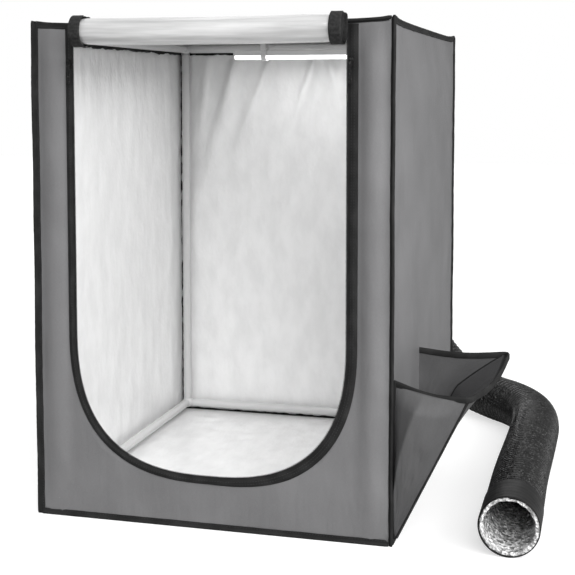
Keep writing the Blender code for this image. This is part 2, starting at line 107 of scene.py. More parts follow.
class Finish:
    """A material with one Principled shader, and the nodes that feed it."""

    def __init__(self, name, colour, roughness, **constants):
        self.material = bpy.data.materials.new(name)
        self.material.use_nodes = True
        self.tree = self.material.node_tree
        self.shader = self.tree.nodes["Principled BSDF"]
        self.shader.inputs["Base Color"].default_value = (*colour, 1)
        self.shader.inputs["Roughness"].default_value = roughness
        for socket, number in constants.items():
            self.shader.inputs[socket.replace("_", " ")].default_value = number

    def node(self, kind, settings=None, inputs=None, output=0):
        """Adds a node, sets its settings first and then its sockets, and gives the output asked for."""
        made = self.tree.nodes.new(kind)
        for key, setting in (settings or {}).items():
            setattr(made, key, setting)
        for key, number in (inputs or {}).items():
            if isinstance(number, Value):
                self.tree.links.new(number.socket, made.inputs[key])
            else:
                made.inputs[key].default_value = number
        return Value(self, made.outputs[output])

    def place(self, scale=(1, 1, 1)):
        """The row-frame position, stretched."""
        where = self.node("ShaderNodeTexCoord", output="Object")
        return self.node("ShaderNodeVectorMath", {"operation": "MULTIPLY"}, {0: where, 1: scale})

    def cut(self, scale=(1, 1, 1)):
        """The position on the flat cloth before it was sewn, in metres, stretched."""
        where = self.node("ShaderNodeAttribute", {"attribute_name": "cut"}, output="Vector")
        return self.node("ShaderNodeVectorMath", {"operation": "MULTIPLY"}, {0: where, 1: scale})

    def parts(self, vector):
        split = self.node("ShaderNodeSeparateXYZ", {}, {0: vector})
        return [Value(self, split.socket.node.outputs[i]) for i in range(3)]

    def noise(self, vector, scale, detail=2.0, roughness=0.5):
        return self.node(
            "ShaderNodeTexNoise", {},
            {"Vector": vector, "Scale": scale, "Detail": detail, "Roughness": roughness}
        )

    def cells(self, vector, scale, feature="F1", output="Distance"):
        return self.node("ShaderNodeTexVoronoi", {"feature": feature}, {"Vector": vector, "Scale": scale},
                         output)

    def mix(self, factor, first, second):
        """A colour between two colours."""
        return self.node("ShaderNodeMix", {"data_type": "RGBA"}, {0: factor, 6: first, 7: second}, output=2)

    def feed(self, socket, link):
        self.tree.links.new(link.socket, self.shader.inputs[socket])

    def bump(self, height, depth, strength=1.0):
        """Relief on the surface: height goes from 0 to 1, depth is in metres."""
        made = self.node("ShaderNodeBump", {}, {"Height": height, "Distance": depth, "Strength": strength})
        self.feed("Normal", made)


def grey(level, cool=0.0):
    """A neutral colour, or with cool above 0 a slightly violet one."""
    return (level * (1 - 0.1 * cool), level * (1 - 0.2 * cool), level * (1 + 0.2 * cool), 1.0)


def add_piece(name, mesh, finishes, body, stands_for=()):
    """Links a finished mesh, gives it its finishes, lets it ride on its body, and hides the imported nodes that
    it stands for.
    """
    piece = bpy.data.objects.new(name, mesh)
    bpy.context.scene.collection.objects.link(piece)
    for finish in finishes:
        mesh.materials.append(finish.material)
    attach(piece, body)
    if stands_for:
        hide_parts(*stands_for)
    return piece


def skin(name, points, rows, columns, wrap_rows=False, wrap_columns=False, cut=None, faces=None, smooth=True):
    """A mesh from rows of points, closed round either way, with the flat cloth's place on each point."""
    mesh = bpy.data.meshes.new(name)
    if faces is None:
        faces = grid_faces(rows, columns, wrap_rows, wrap_columns)
    mesh.from_pydata([tuple(p) for p in points], [], faces)
    if cut is not None:
        attribute = mesh.attributes.new("cut", "FLOAT_VECTOR", "POINT")
        attribute.data.foreach_set("vector", np.asarray(cut, np.float32).ravel())
    if smooth:
        mesh.shade_smooth()
    return mesh


def grid_faces(rows, columns, wrap_rows=False, wrap_columns=False, first=0, flip=False):
    faces = []
    for i in range(rows if wrap_rows else rows - 1):
        for j in range(columns if wrap_columns else columns - 1):
            k, m = (i + 1) % rows, (j + 1) % columns
            here, beyond = first + i * columns, first + k * columns
            face = [here + j, here + m, beyond + m, beyond + j]
            faces.append(face[::-1] if flip else face)
    return faces


def rough(place, scale, seed=0.0):
    """Smooth noise from -1 to 1 at a place."""
    return noise.noise(Vector(place) * scale + Vector((seed, seed * 1.7, seed * 0.3)))


def smooth_route(points, step):
    """Points a step apart along a smooth curve through the route's own points, and the direction at each."""
    points = np.array(points, float)
    ends = np.vstack([2 * points[0] - points[1], points, 2 * points[-1] - points[-2]])
    fine = []
    for a, b, c, d in zip(ends, ends[1:], ends[2:], ends[3:]):
        t = np.linspace(0, 1, 40, endpoint=False)[:, None]
        bend, twist = 2 * a - 5 * b + 4 * c - d, 3 * b - a - 3 * c + d
        fine.append(0.5 * (2 * b + (c - a) * t + bend * t**2 + twist * t**3))
    fine = np.vstack([*fine, points[-1:]])
    along = np.concatenate([[0], np.cumsum(np.linalg.norm(np.diff(fine, axis=0), axis=1))])
    at = np.linspace(0, along[-1], round(along[-1] / step) + 1)
    line = np.stack([np.interp(at, along, fine[:, k]) for k in range(3)], axis=1)
    heading = np.gradient(line, axis=0)
    return line, heading / np.linalg.norm(heading, axis=1)[:, None], at


def swept_frames(heading, first_up):
    """Two directions across a route at each of its points, carried along without twisting."""
    ups, sides = [], []
    up = np.array(first_up, float)
    for h in heading:
        up = up - h * (up @ h)
        up /= np.linalg.norm(up)
        ups.append(up)
        sides.append(np.cross(h, up))
    return np.array(ups), np.array(sides)


DUCT_R = 0.0430
DUCT_FLOOR_Z = 0.0440
DUCT_ROUTE = [
    (0.155, 0.3920, 0.539),
    (0.155, 0.420, 0.534),
    (0.155, 0.4625, 0.517),
    (0.155, 0.499, 0.489),
    (0.155, 0.527, 0.4525),
    (0.155, 0.544, 0.410),
    (0.155, 0.550, 0.365),
    (0.155, 0.550, 0.296),
    (0.162, 0.545, 0.231),
    (0.182, 0.530, 0.171),
    (0.214, 0.506, 0.119),
    (0.255, 0.475, 0.080),
    (0.302, 0.439, 0.054),
    (0.350, 0.401, 0.045),
    (0.391, 0.361, DUCT_FLOOR_Z),
    (0.420, 0.315, DUCT_FLOOR_Z),
    (0.438, 0.263, DUCT_FLOOR_Z),
    (0.444, 0.207, DUCT_FLOOR_Z),
    (0.4440, 0.145, DUCT_FLOOR_Z),
    (0.4430, 0.080, DUCT_FLOOR_Z),
    (0.4415, 0.010, DUCT_FLOOR_Z),
    (0.4400, -0.060, DUCT_FLOOR_Z),
    (0.4395, -0.130, DUCT_FLOOR_Z),
    (0.4400, -0.190, DUCT_FLOOR_Z),
    (0.4400, -0.2450, DUCT_FLOOR_Z),
]
DUCT_IN_SLEEVE = (0.155, 0.374, 0.5400)
DUCT_END = (0.4400, -0.3235, DUCT_FLOOR_Z)
COIL_PITCH = 0.0110
DUCT_STEP = COIL_PITCH / 4
DUCT_SIDES = 60
FILM_SAG = 0.0032  # how far the film sinks between two turns of the coil
FILM_CRINKLE = 0.0017
FOIL_GAP = 0.0016

duct_film = Finish("duct_film", (0.010, 0.010, 0.010), 0.30, Specular_IOR_Level=0.3, Coat_Weight=0.45,
                   Coat_Roughness=0.06)
film_place = duct_film.place()
film_facets = duct_film.cells(film_place, 210.0)
film_creases = duct_film.noise(film_place, 130.0, detail=4.0, roughness=0.7)
duct_film.bump(film_facets * 0.9 + film_creases, 0.0030)
film_wear = duct_film.noise(film_place, 34.0, detail=3.0).step(0.52, 0.70)
duct_film.feed("Base Color", duct_film.mix(film_wear * 0.7, grey(0.005), grey(0.022)))
duct_film.feed("Roughness", 0.16 + 0.30 * duct_film.noise(film_place, 300.0))

duct_foil = Finish("duct_foil", (0.92, 0.92, 0.93), 0.34, Metallic=0.15)
foil_place = duct_foil.place()
foil_facets = duct_foil.cells(foil_place, 190.0)
foil_creases = duct_foil.noise(foil_place, 110.0, detail=4.0, roughness=0.7)
duct_foil.bump(foil_facets * 0.9 + foil_creases, 0.0075)
# painted shade: the foil's colour is darker in the valleys of its creases, where the bump sinks, and lighter on
# their ridges
duct_foil.feed("Base Color", duct_foil.mix(foil_creases.step(0.40, 0.60), grey(0.50), grey(0.98)))


def duct_surface(line, heading, at, radius, crinkle, seed):
    """Rings round the route: full over each turn of the coil, sunk and crumpled between."""
    ups, sides = swept_frames(heading, (1, 0, 0))
    angles = np.linspace(0, 2 * math.pi, DUCT_SIDES, endpoint=False)
    points = []
    for centre, up, side, walked in zip(line, ups, sides, at):
        for angle in angles:
            turn = (walked / COIL_PITCH + angle / (2 * math.pi)) % 1.0
            sink = FILM_SAG * math.sin(math.pi * turn) ** 2
            out = up * math.cos(angle) + side * math.sin(angle)
            spot = centre + out * radius
            crumple = abs(rough(spot, 95, seed)) + 0.6 * abs(rough(spot, 230, seed + 5))
            points.append(centre + out * (radius - sink - crinkle * crumple * math.sin(math.pi * turn)))
    return points


duct_line, duct_heading, duct_at = smooth_route([DUCT_IN_SLEEVE, *DUCT_ROUTE, DUCT_END], DUCT_STEP)
duct_rows = len(duct_line)
duct_outer = duct_surface(duct_line, duct_heading, duct_at, DUCT_R - 0.0002, FILM_CRINKLE, 0.0)
duct_inner = duct_surface(duct_line, duct_heading, duct_at, DUCT_R - FOIL_GAP - 0.0002, FILM_CRINKLE, 0.0)
duct_count = len(duct_outer)
duct_faces = grid_faces(duct_rows, DUCT_SIDES, wrap_columns=True, flip=True)
film_faces = len(duct_faces)
duct_faces += grid_faces(duct_rows, DUCT_SIDES, wrap_columns=True, first=duct_count)
for edge in (0, (duct_rows - 1) * DUCT_SIDES):
    for k in range(DUCT_SIDES):
        m = (k + 1) % DUCT_SIDES
        rim = [edge + k, edge + m, duct_count + edge + m, duct_count + edge + k]
        duct_faces.append(rim if edge == 0 else rim[::-1])
duct_mesh = skin("exhaust_duct_skin", duct_outer + duct_inner, 0, 0, faces=duct_faces)
duct = add_piece("exhaust_duct_skin", duct_mesh, [duct_film, duct_foil], "tent",
                 ["exhaust_duct"])
for face in list(duct_mesh.polygons)[film_faces:]:
    face.material_index = 1

# The cuff is a plain black collar of heavier film, heat-shrunk over the last turns and hemmed at the mouth,
# where the foil lining is turned out over the last ring of wire.
CUFF_LENGTH = 0.080
CUFF_R = 0.0438
RING_SIDES = 96
cuff_black = Finish("cuff_black", (0.008, 0.008, 0.008), 0.50, Specular_IOR_Level=0.18)
cuff_place = cuff_black.place()
cuff_ripple = cuff_black.noise(cuff_place, 60.0, detail=3.0)
cuff_black.bump(cuff_ripple + 0.25 * cuff_black.noise(cuff_place, 900.0), 0.0009)
cuff_black.feed("Roughness", 0.40 + 0.2 * cuff_black.noise(cuff_place, 45.0))


def turned(name, profile, centre, sides):
    """A closed ring turned round the Y axis through a centre, from its section as (radius, y) points."""
    points = []
    for radius, y in profile:
        for k in range(sides):
            angle = 2 * math.pi * k / sides
            points.append((centre[0] + radius * math.cos(angle), y, centre[2] + radius * math.sin(angle)))
    return skin(name, points, len(profile), sides, wrap_rows=True, wrap_columns=True)


cuff_back, cuff_front = DUCT_END[1] + CUFF_LENGTH, DUCT_END[1] - 0.0012
cuff_profile = [(CUFF_R - 0.0005, cuff_back), (CUFF_R, cuff_back - 0.001)]
for k in range(1, 18):
    along = cuff_back + (cuff_front + 0.004 - cuff_back) * k / 18
    cuff_profile.append((CUFF_R - 0.0006 * math.sin(k * 2.1) ** 2, along))
cuff_profile += [
    (CUFF_R, cuff_front + 0.003),
    (CUFF_R - 0.0004, cuff_front + 0.0008),
    (CUFF_R - 0.0012, cuff_front),
    (CUFF_R - 0.0019, cuff_front + 0.0012),
    (CUFF_R - 0.0022, cuff_front + 0.010),
    (CUFF_R - 0.0022, cuff_back - 0.001),
]
cuff_mesh = turned("duct_cuff_collar", cuff_profile, DUCT_END, RING_SIDES)
cuff = add_piece("duct_cuff_collar", cuff_mesh, [cuff_black], "tent", ["duct_cuff"])

FOIL_RIM_R = 0.0388
foil_rim_profile = [
    (FOIL_RIM_R + 0.0026 * math.cos(a), DUCT_END[1] + 0.0022 + 0.0026 * math.sin(a))
    for a in np.linspace(0, 2 * math.pi, 14, endpoint=False)
]
foil_rim_mesh = turned("duct_foil_rim", foil_rim_profile, DUCT_END, RING_SIDES)
for vertex in foil_rim_mesh.vertices:
    out = Vector((vertex.co.x - DUCT_END[0], 0, vertex.co.z - DUCT_END[2])).normalized()
    push = Vector((0, 0.0010 * rough(vertex.co, 190, 8.0), 0))
    vertex.co += out * 0.0012 * rough(vertex.co, 160, 3.0) + push
foil_rim = add_piece("duct_foil_rim", foil_rim_mesh, [duct_foil], "tent")

# ================================================================ tube frame
# Twelve white-coated steel tubes plug onto eight moulded corner pieces and stretch the cover from inside.
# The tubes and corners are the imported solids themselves: only their finish is made here.
def dress(node, finish):
    """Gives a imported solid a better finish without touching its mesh."""
    for holder in node.material_slots:
        holder.link = "OBJECT"
        holder.material = finish.material


powder_coat = Finish("pale_powder_coat", (0.52, 0.52, 0.53), 0.34, Coat_Weight=0.25, Coat_Roughness=0.22)
powder_place = powder_coat.place()
powder_coat.bump(powder_coat.noise(powder_place, 900.0) + 0.5 * powder_coat.noise(powder_place, 260.0),
                 0.0003)
powder_scuffs = powder_coat.noise(powder_coat.place((1.0, 1.0, 6.0)), 60.0, detail=5.0, roughness=0.7)
powder_coat.feed("Roughness", 0.30 + 0.22 * powder_scuffs.step(0.50, 0.72))
powder_coat.feed("Base Color", powder_coat.mix(powder_scuffs.step(0.62, 0.80), grey(0.54), grey(0.40)))

moulded = Finish("moulded_corner", (0.62, 0.62, 0.62), 0.46)
moulded_place = moulded.place()
moulded.bump(moulded.cells(moulded_place, 1400.0) + 0.6 * moulded.noise(moulded_place, 420.0), 0.0003)
moulded.feed("Roughness", 0.40 + 0.16 * moulded.noise(moulded_place, 90.0))

for name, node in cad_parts.items():
    if name.startswith("post_") or "_rail_" in name:
        dress(node, powder_coat)
    if name.startswith("corner_"):
        dress(node, moulded)

# ================================================================ cloth cover
# The cover is grey coated polyester with a silver-white film laminated to its inside. Six panels are cut
# flat and sewn into a box that the frame stretches from inside, so the cloth is taut, never quite flat, and
# puckered at its seams.
HALF_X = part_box("right_panel")[1][0]
HALF_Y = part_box("back_panel")[1][1]
ROOF_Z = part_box("top_panel")[1][2]
SEAM_ALLOWANCE = 0.0012  # from the corner of the box to the edge of each panel
CLOTH_THICK = 0.0008
CLOTH_STEP = 0.0065
WEAVE_PITCH = 0.00075
ROOF_PEAK = 0.0032
ROOF_EDGE_SAG = 0.0030
SEAM_WANDER = 0.0009
X_AXIS, Y_AXIS, Z_AXIS = np.eye(3)


def woven(name, dark, light):
    """Plain-woven coated polyester: a fine over-and-under weave, slubs both ways and faint handling creases."""
    made = Finish(name, (light, light, light), 0.62, Specular_IOR_Level=0.35)
    u, v, _ = made.parts(made.cut())
    over = (u * (math.pi / WEAVE_PITCH)).sine() * (v * (math.pi / WEAVE_PITCH)).sine()
    slub = made.noise(made.cut((260.0, 2600.0, 1.0)), 1.0, detail=1.0)
    slub_up = made.noise(made.cut((2600.0, 260.0, 1.0)), 1.0, detail=1.0)
    tone = made.noise(made.cut(), 9.0, detail=3.0)
    crease = made.noise(made.cut((1.6, 0.5, 1.0)), 22.0, detail=3.0)
    made.bump(crease + over * 0.045 + slub * 0.05, 0.0022)
    shade = (tone * 0.5 + (slub + slub_up) * 0.28).step(0.20, 0.85)
    made.feed("Base Color", made.mix(shade, grey(dark, 0.05), grey(light, 0.05)))
    made.feed("Roughness", 0.52 + 0.18 * slub)
    return made


outer_cloth = woven("outer_cloth", 0.118, 0.182)

liner = Finish("liner_film", (0.84, 0.84, 0.85), 0.30, Coat_Weight=0.2, Coat_Roughness=0.25)
liner_crinkle = liner.noise(liner.cut((1.8, 0.8, 1.0)), 16.0, detail=4.0, roughness=0.55)
liner_fine = liner.cells(liner.cut((1.5, 1.0, 1.0)), 130.0)
liner.bump(liner_crinkle + liner_fine * 0.06, 0.0034)
# painted shade: the film's colour is a little darker in the valleys of its crinkles, where the bump sinks
liner.feed("Base Color", liner.mix(liner_crinkle.step(0.30, 0.70), grey(0.80), grey(0.88)))
liner.feed("Roughness", 0.24 + 0.22 * liner.noise(liner.cut(), 70.0))
liner.feed("Metallic", 0.10 + 0.14 * liner_crinkle)


def soft(u, v, across, along, seed):
    """Smooth noise over a cloth, from about -1 to 1, with its waves per metre across and along it."""
    return noise.noise(Vector((u * across, v * along, seed)))


def settle(point):
    """Moves a point of the cover to where the sewn box hangs: roof corners up, roof edges down between them."""
    x, y, z = point
    side, front = HALF_X - abs(x), HALF_Y - abs(y)
    corner = math.hypot(side, front)
    near_roof = max(0.0, 1 - (ROOF_Z - z) / 0.10) ** 2
    rise = ROOF_PEAK * math.exp(-corner / 0.016) - ROOF_EDGE_SAG * (1 - math.exp(-corner / 0.06))
    near_upright = math.exp(-corner / 0.05) * min(1.0, z / 0.05)
    seed = (1.5 if x > 0 else 4.5) + (9.0 if y > 0 else 0.0)
    wander = SEAM_WANDER * near_upright * noise.noise(Vector((z * 11, seed, 0)))
    wander_in = SEAM_WANDER * near_upright * noise.noise(Vector((z * 9, seed + 30, 0)))
    return (x + wander, y + wander_in, z + near_roof * rise)


def lattice(half_u, half_v):
    """A rectangle's points, its faces and its number of columns, cut to near-square cells."""
    columns, rows = (2 * round(half / CLOTH_STEP) + 1 for half in (half_u, half_v))
    flat = [(u, v) for v in np.linspace(-half_v, half_v, rows) for u in np.linspace(-half_u, half_u, columns)]
    return flat, grid_faces(rows, columns), columns


def lattice_with_holes(half_u, half_v, holes):
    """A lattice with rounded holes: each is its centre, half sizes, power, and the margin round it."""
    flat, faces, columns = lattice(half_u, half_v)
    rows = len(flat) // columns
    us, vs = [p[0] for p in flat[:columns]], [p[1] for p in flat[::columns]]
    for (cu, cv), (a, b), power, margin in holes:
        left, right = (int(np.argmin(np.abs(np.array(us) - (cu + s * (a + margin))))) for s in (-1, 1))
        low, high = (int(np.argmin(np.abs(np.array(vs) - (cv + s * (b + margin))))) for s in (-1, 1))
        kept = []
        for face in faces:
            r, c = divmod(min(face), columns)
            if len(face) != 4 or min(face) >= rows * columns or not (low <= r < high and left <= c < right):
                kept.append(face)
        ring = [(low, c) for c in range(left, right)] + [(r, right) for r in range(low, high)]
        ring += [(high, c) for c in range(right, left, -1)] + [(r, left) for r in range(high, low, -1)]
        outer = [r * columns + c for r, c in ring]
        loops = [outer]
        for share in (0.75, 0.5, 0.28, 0.12, 0.0):
            loop = []
            for k in outer:
                du, dv = flat[k][0] - cu, flat[k][1] - cv
                reach = ((abs(du) / a) ** power + (abs(dv) / b) ** power) ** (-1 / power)
                mixed = reach + (1 - reach) * share
                loop.append(len(flat))
                flat.append((cu + du * mixed, cv + dv * mixed))
            loops.append(loop)
        for first, second in zip(loops, loops[1:]):
            for i in range(len(first)):
                j = (i + 1) % len(first)
                kept.append([first[i], first[j], second[j], second[i]])
        faces = kept
    return flat, faces


def ring_panel(outline, centre, half_u, half_v, rings):
    """A rectangle round one large opening, as rings from the opening's outline out to the rectangle's edge."""
    far = []
    for u, v in outline:
        du, dv = u - centre[0], v - centre[1]
        reach_u = ((half_u if du > 0 else -half_u) - centre[0]) / du if abs(du) > 1e-9 else 1e9
        reach_v = ((half_v if dv > 0 else -half_v) - centre[1]) / dv if abs(dv) > 1e-9 else 1e9
        reach = min(reach_u, reach_v)
        far.append([centre[0] + du * reach, centre[1] + dv * reach])
    for corner in ((-half_u, -half_v), (half_u, -half_v), (half_u, half_v), (-half_u, half_v)):
        nearest = min(range(len(far)), key=lambda k: math.dist(far[k], corner))
        far[nearest] = list(corner)
    flat = []
    for k in range(rings):
        share = k / (rings - 1)
        flat += [(u + (f[0] - u) * share, v + (f[1] - v) * share) for (u, v), f in zip(outline, far)]
    return flat, grid_faces(rings, len(outline), wrap_columns=True, flip=True)


def sheet_mesh(name, flat, faces, middle, across, up, relief, crumple, hang=settle):
    """A closed thin sheet on a plane: its outer face stands out by relief, its inner face in by crumple."""
    outward = np.cross(across, up)
    outer, inner = [], []
    for u, v in flat:
        spot = middle + across * u + up * v
        lift = relief(u, v)
        outer.append(hang(spot + outward * lift))
        inner.append(hang(spot + outward * (lift - CLOTH_THICK - crumple(u, v))))
    count = len(flat)
    ways = {(i, j): True for face in faces for i, j in zip(face, face[1:] + face[:1])}
    rim = [(i, j) for i, j in ways if (j, i) not in ways]
    both = faces + [[count + i for i in reversed(face)] for face in faces]
    both += [[j, i, count + i, count + j] for i, j in rim]
    cut = [(u, v, 0) for u, v in flat]
    mesh = skin(name, outer + inner, 0, 0, cut=cut + cut, faces=both)
    inside = np.zeros(len(both), np.int32)
    inside[len(faces) : 2 * len(faces)] = 1
    return mesh, inside


def add_panel(name, node, across, up, flat, faces, relief, crumple):
    low, high = (np.array(corner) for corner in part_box(node))
    outward = np.cross(across, up)
    middle = (low + high) / 2 + outward * abs((high - low) @ outward) / 2
    mesh, inside = sheet_mesh(name, flat, faces, middle, across, up, relief, crumple)
    panel = add_piece(name, mesh, [outer_cloth, liner], "tent", [node])
    mesh.polygons.foreach_set("material_index", inside)
    return panel


def pucker(u, v, half_u, half_v, seed):
    """The cloth drawn in along its seams, in short waves that die away into the panel."""
    side, end = half_u - abs(u), half_v - abs(v)
    beside = math.exp(-side / 0.022) * soft(0, v, 0, 55, seed)
    across_end = math.exp(-end / 0.026) * soft(u, 0, 60, 0, seed + 3)
    return 0.0011 * (beside + across_end)


def taut(u, v, half_u, half_v):
    """0 at a seam and 1 well inside the panel."""
    edge = min(half_u - abs(u), half_v - abs(v))
    return min(1.0, max(0.0, edge / 0.07)) ** 0.8


PANEL_HALF_X, PANEL_HALF_Y = HALF_X - SEAM_ALLOWANCE, HALF_Y - SEAM_ALLOWANCE
PANEL_HALF_Z = ROOF_Z / 2 - SEAM_ALLOWANCE
BULGE_RAMP = 0.11
SIDE_BULGE = 0.0150
STRIP_BULGE, STRIP_BULGE_VARIES = 0.0066, 0.0022
BULGE_FROM = 0.0095  # the tape holds the cloth flat this far in from each seam
upright = PANEL_HALF_Z


def bellied(u, v, half_u, half_v):
    """0 as far in as the seam's tape reaches, rising smoothly to 1 well inside the panel."""
    edge = min(half_u - abs(u), half_v - abs(v))
    share = min(1.0, max(0.0, (edge - BULGE_FROM) / BULGE_RAMP))
    return share * share * (3 - 2 * share)


def right_relief(u, v):
    share = (u + PANEL_HALF_Y) / (2 * PANEL_HALF_Y)
    bulge = SIDE_BULGE * (1 - math.exp(-share / 0.22)) * (1 - 0.50 * share) + 0.0018 * soft(u, v, 12, 2.2, 8)
    return bellied(u, v, PANEL_HALF_Y, upright) * bulge + pucker(u, v, PANEL_HALF_Y, upright, 2) * 0.7


def left_relief(u, v):
    waves = 0.0026 * soft(u, v, 10, 2.4, 17) + 0.0012 * soft(u, v, 26, 6, 21)
    return taut(u, v, PANEL_HALF_Y, upright) * (waves - 0.0018) + pucker(u, v, PANEL_HALF_Y, upright, 12)


def wall_crumple(seed, half_u):
    """Fine upright wrinkles in the film, gathered closest under the roof seam."""

    def crumple(u, v):
        down = (upright - v) / (2 * upright)
        gathered = math.exp(-down / 0.05)
        fine = abs(soft(u, v, 50, 5, seed)) * 0.0003 + abs(soft(u, v, 14, 3, seed + 4)) * 0.0020
        bunch = abs(soft(u, v, 95, 16, seed + 9)) * 0.0075 * gathered
        return taut(u, v, half_u, upright + 0.03) * (fine + bunch)

    return crumple


flat, faces, _ = lattice(PANEL_HALF_Y, upright)
add_panel("right_wall_cloth", "right_panel", Y_AXIS, Z_AXIS, flat, faces, right_relief,
          wall_crumple(31, PANEL_HALF_Y))
add_panel("left_wall_cloth", "left_panel", -Y_AXIS, Z_AXIS, flat, faces, left_relief,
          wall_crumple(47, PANEL_HALF_Y))

# folds in the back wall's film fan down from the light bar: start and end (x, z), depth and half width
BACK_FOLDS = [
    ((-0.150, 0.725), (-0.250, 0.360), 0.0130, 0.018),
    ((-0.080, 0.725), (-0.190, 0.440), 0.0115, 0.015),
    ((0.010, 0.725), (-0.060, 0.500), 0.0110, 0.014),
    ((0.030, 0.725), (0.090, 0.480), 0.0100, 0.014),
    ((0.115, 0.725), (0.140, 0.380), 0.0080, 0.016),
    ((-0.215, 0.725), (-0.235, 0.520), 0.0065, 0.010),
]
VENT_X, VENT_Z = ((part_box("vent_sleeve")[0][k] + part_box("vent_sleeve")[1][k]) / 2 for k in (0, 2))
SLEEVE_R = 0.0450
PORT_X, PORT_Z = 0.150, 0.085
PORT_HALF = (0.030, 0.018)
plain_crumple = wall_crumple(63, PANEL_HALF_X)


def back_relief(u, v):
    hole = math.hypot(-u - VENT_X, v + ROOF_Z / 2 - VENT_Z)
    calm = min(1.0, max(0.0, (hole - SLEEVE_R) / 0.05))
    waves = 0.0024 * soft(u, v, 9, 3, 27) + 0.0010 * soft(u, v, 22, 8, 29) - 0.0016
    return calm * taut(u, v, PANEL_HALF_X, upright) * waves + pucker(u, v, PANEL_HALF_X, upright, 22)


def back_crumple(u, v):
    x, z = -u, v + ROOF_Z / 2
    depth = plain_crumple(u, v)
    for (x0, z0), (x1, z1), tall, wide in BACK_FOLDS:
        share = (z0 - z) / (z0 - z1)
        if 0 < share < 1.15:
            off = (x - (x0 + (x1 - x0) * share)) / (wide * (0.55 + share))
            depth += tall * math.exp(-off * off) * (1 - share / 1.15) ** 0.7 * min(1.0, share / 0.06)
    return depth


holes = [
    ((-VENT_X, VENT_Z - ROOF_Z / 2), (SLEEVE_R + 0.0004, SLEEVE_R + 0.0004), 2, 0.030),
    ((-PORT_X, PORT_Z - ROOF_Z / 2), PORT_HALF, 4, 0.020),
]
flat, faces = lattice_with_holes(PANEL_HALF_X, upright, holes)
add_panel("back_wall_cloth", "back_panel", -X_AXIS, Z_AXIS, flat, faces, back_relief, back_crumple)


def roof_relief(u, v):
    inside = taut(u, v, PANEL_HALF_X, PANEL_HALF_Y)
    return inside * (-0.0032 - 0.0016 * soft(u, v, 6, 6, 41)) + pucker(u, v, PANEL_HALF_X, PANEL_HALF_Y, 42)


def floor_relief(u, v):
    return -0.0002 - 0.0010 * taut(u, v, PANEL_HALF_X, PANEL_HALF_Y) * (0.5 + 0.5 * soft(u, v, 8, 8, 51))


def flat_crumple(seed):
    return lambda u, v: taut(u, v, PANEL_HALF_X, PANEL_HALF_Y) * (
        abs(soft(u, v, 26, 22, seed)) * 0.0022 + abs(soft(u, v, 60, 60, seed + 2)) * 0.0009
    )


flat, faces, _ = lattice(PANEL_HALF_X, PANEL_HALF_Y)
add_panel("roof_cloth", "top_panel", X_AXIS, Y_AXIS, flat, faces, roof_relief, flat_crumple(43))
add_panel("floor_cloth", "floor_panel", X_AXIS, -Y_AXIS, flat, faces, floor_relief, flat_crumple(53))

# The front panel is one piece cut away inside the door's zip, a tall U with a round bottom.
ZIP_WIDTH = 0.0135
ZIP_CORNER_Z = 0.295
ZIP_POWER = 2.6
FACING_LEFT, FACING_RIGHT = 0.0075, 0.0120  # how far the zip's facing covers the front cloth on each side
zip_low, zip_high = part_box("zip_tape")
ZIP_HALF = zip_high[0] - ZIP_WIDTH / 2
ZIP_DROP = ZIP_CORNER_Z - zip_low[2] - ZIP_WIDTH / 2
ZIP_TOP = zip_high[2]


def zip_line(offset, top, step):
    """The doorway's U moved outwards by an offset: points a step apart, from upper left to upper right."""
    half, drop = ZIP_HALF + offset, ZIP_DROP + offset
    points = [(-half, top)]
    for angle in np.linspace(math.pi, 2 * math.pi, 400):
        c, s = math.cos(angle), abs(math.sin(angle))
        x = half * math.copysign(abs(c) ** (2 / ZIP_POWER), c)
        points.append((x, ZIP_CORNER_Z - drop * s ** (2 / ZIP_POWER)))
    points = np.array([*points, (half, top)])
    along = np.concatenate([[0], np.cumsum(np.linalg.norm(np.diff(points, axis=0), axis=1))])
    at = np.linspace(0, along[-1], round(along[-1] / step) + 1)
    return np.stack([np.interp(at, along, points[:, k]) for k in (0, 1)], axis=1), at


doorway, _ = zip_line(ZIP_WIDTH / 2 - 0.004, ZIP_TOP + 0.001, CLOTH_STEP)
lintel = np.linspace(doorway[-1][0], doorway[0][0], round(2 * ZIP_HALF / CLOTH_STEP))[1:-1]
opening = [(x, z - ROOF_Z / 2) for x, z in doorway] + [(x, doorway[0][1] - ROOF_Z / 2) for x in lintel]
flat, faces = ring_panel(opening, (0, ZIP_CORNER_Z - ROOF_Z / 2), PANEL_HALF_X, upright, 12)


def front_relief(u, v):
    facing = ZIP_HALF + (FACING_RIGHT if u > 0 else FACING_LEFT)
    seam = PANEL_HALF_X - BULGE_FROM
    side = (seam - abs(u)) / (seam - facing)
    bulge = math.sin(math.pi * min(1.0, max(0.0, side))) * (
        STRIP_BULGE + STRIP_BULGE_VARIES * soft(u, v, 3, 5, 61)
    )
    foot = max(0.0, 1 - (v + upright) / 0.09)
    low = foot * 0.0012 * soft(u, v, 14, 10, 65)
    head = min(1.0, (upright - v) / 0.05)
    return bulge * (1 - 0.8 * foot) * head + low + pucker(u, v, PANEL_HALF_X, upright, 66) * 0.8 - 0.0003


def front_crumple(u, v):
    return 0.0002 + abs(soft(u, v, 45, 12, 71)) * 0.0008


add_panel("front_cloth", "front_panel", X_AXIS, Z_AXIS, flat, faces, front_relief, front_crumple)

# ================================================================ bound seams
# Each edge of the box is bound: a black polyester tape is folded over the seam's raw edge, which makes a
# bead along the corner, and stitched down through both panels with black thread.
TAPE_LEG = 0.0080
TAPE_LEG_WIDE = 0.0098
TAPE_LEG_NARROW = 0.0042
TAPE_THICK = 0.0009
BEAD_R = 0.0025
BEAD_R_BACK = 0.0036
SEAM_STEP = 0.0042
STITCH_PITCH = 0.0042
STITCH_LENGTH = 0.0030
STITCH_IN = 0.0018  # from the tape's edge
RIB_PITCH = 0.0011

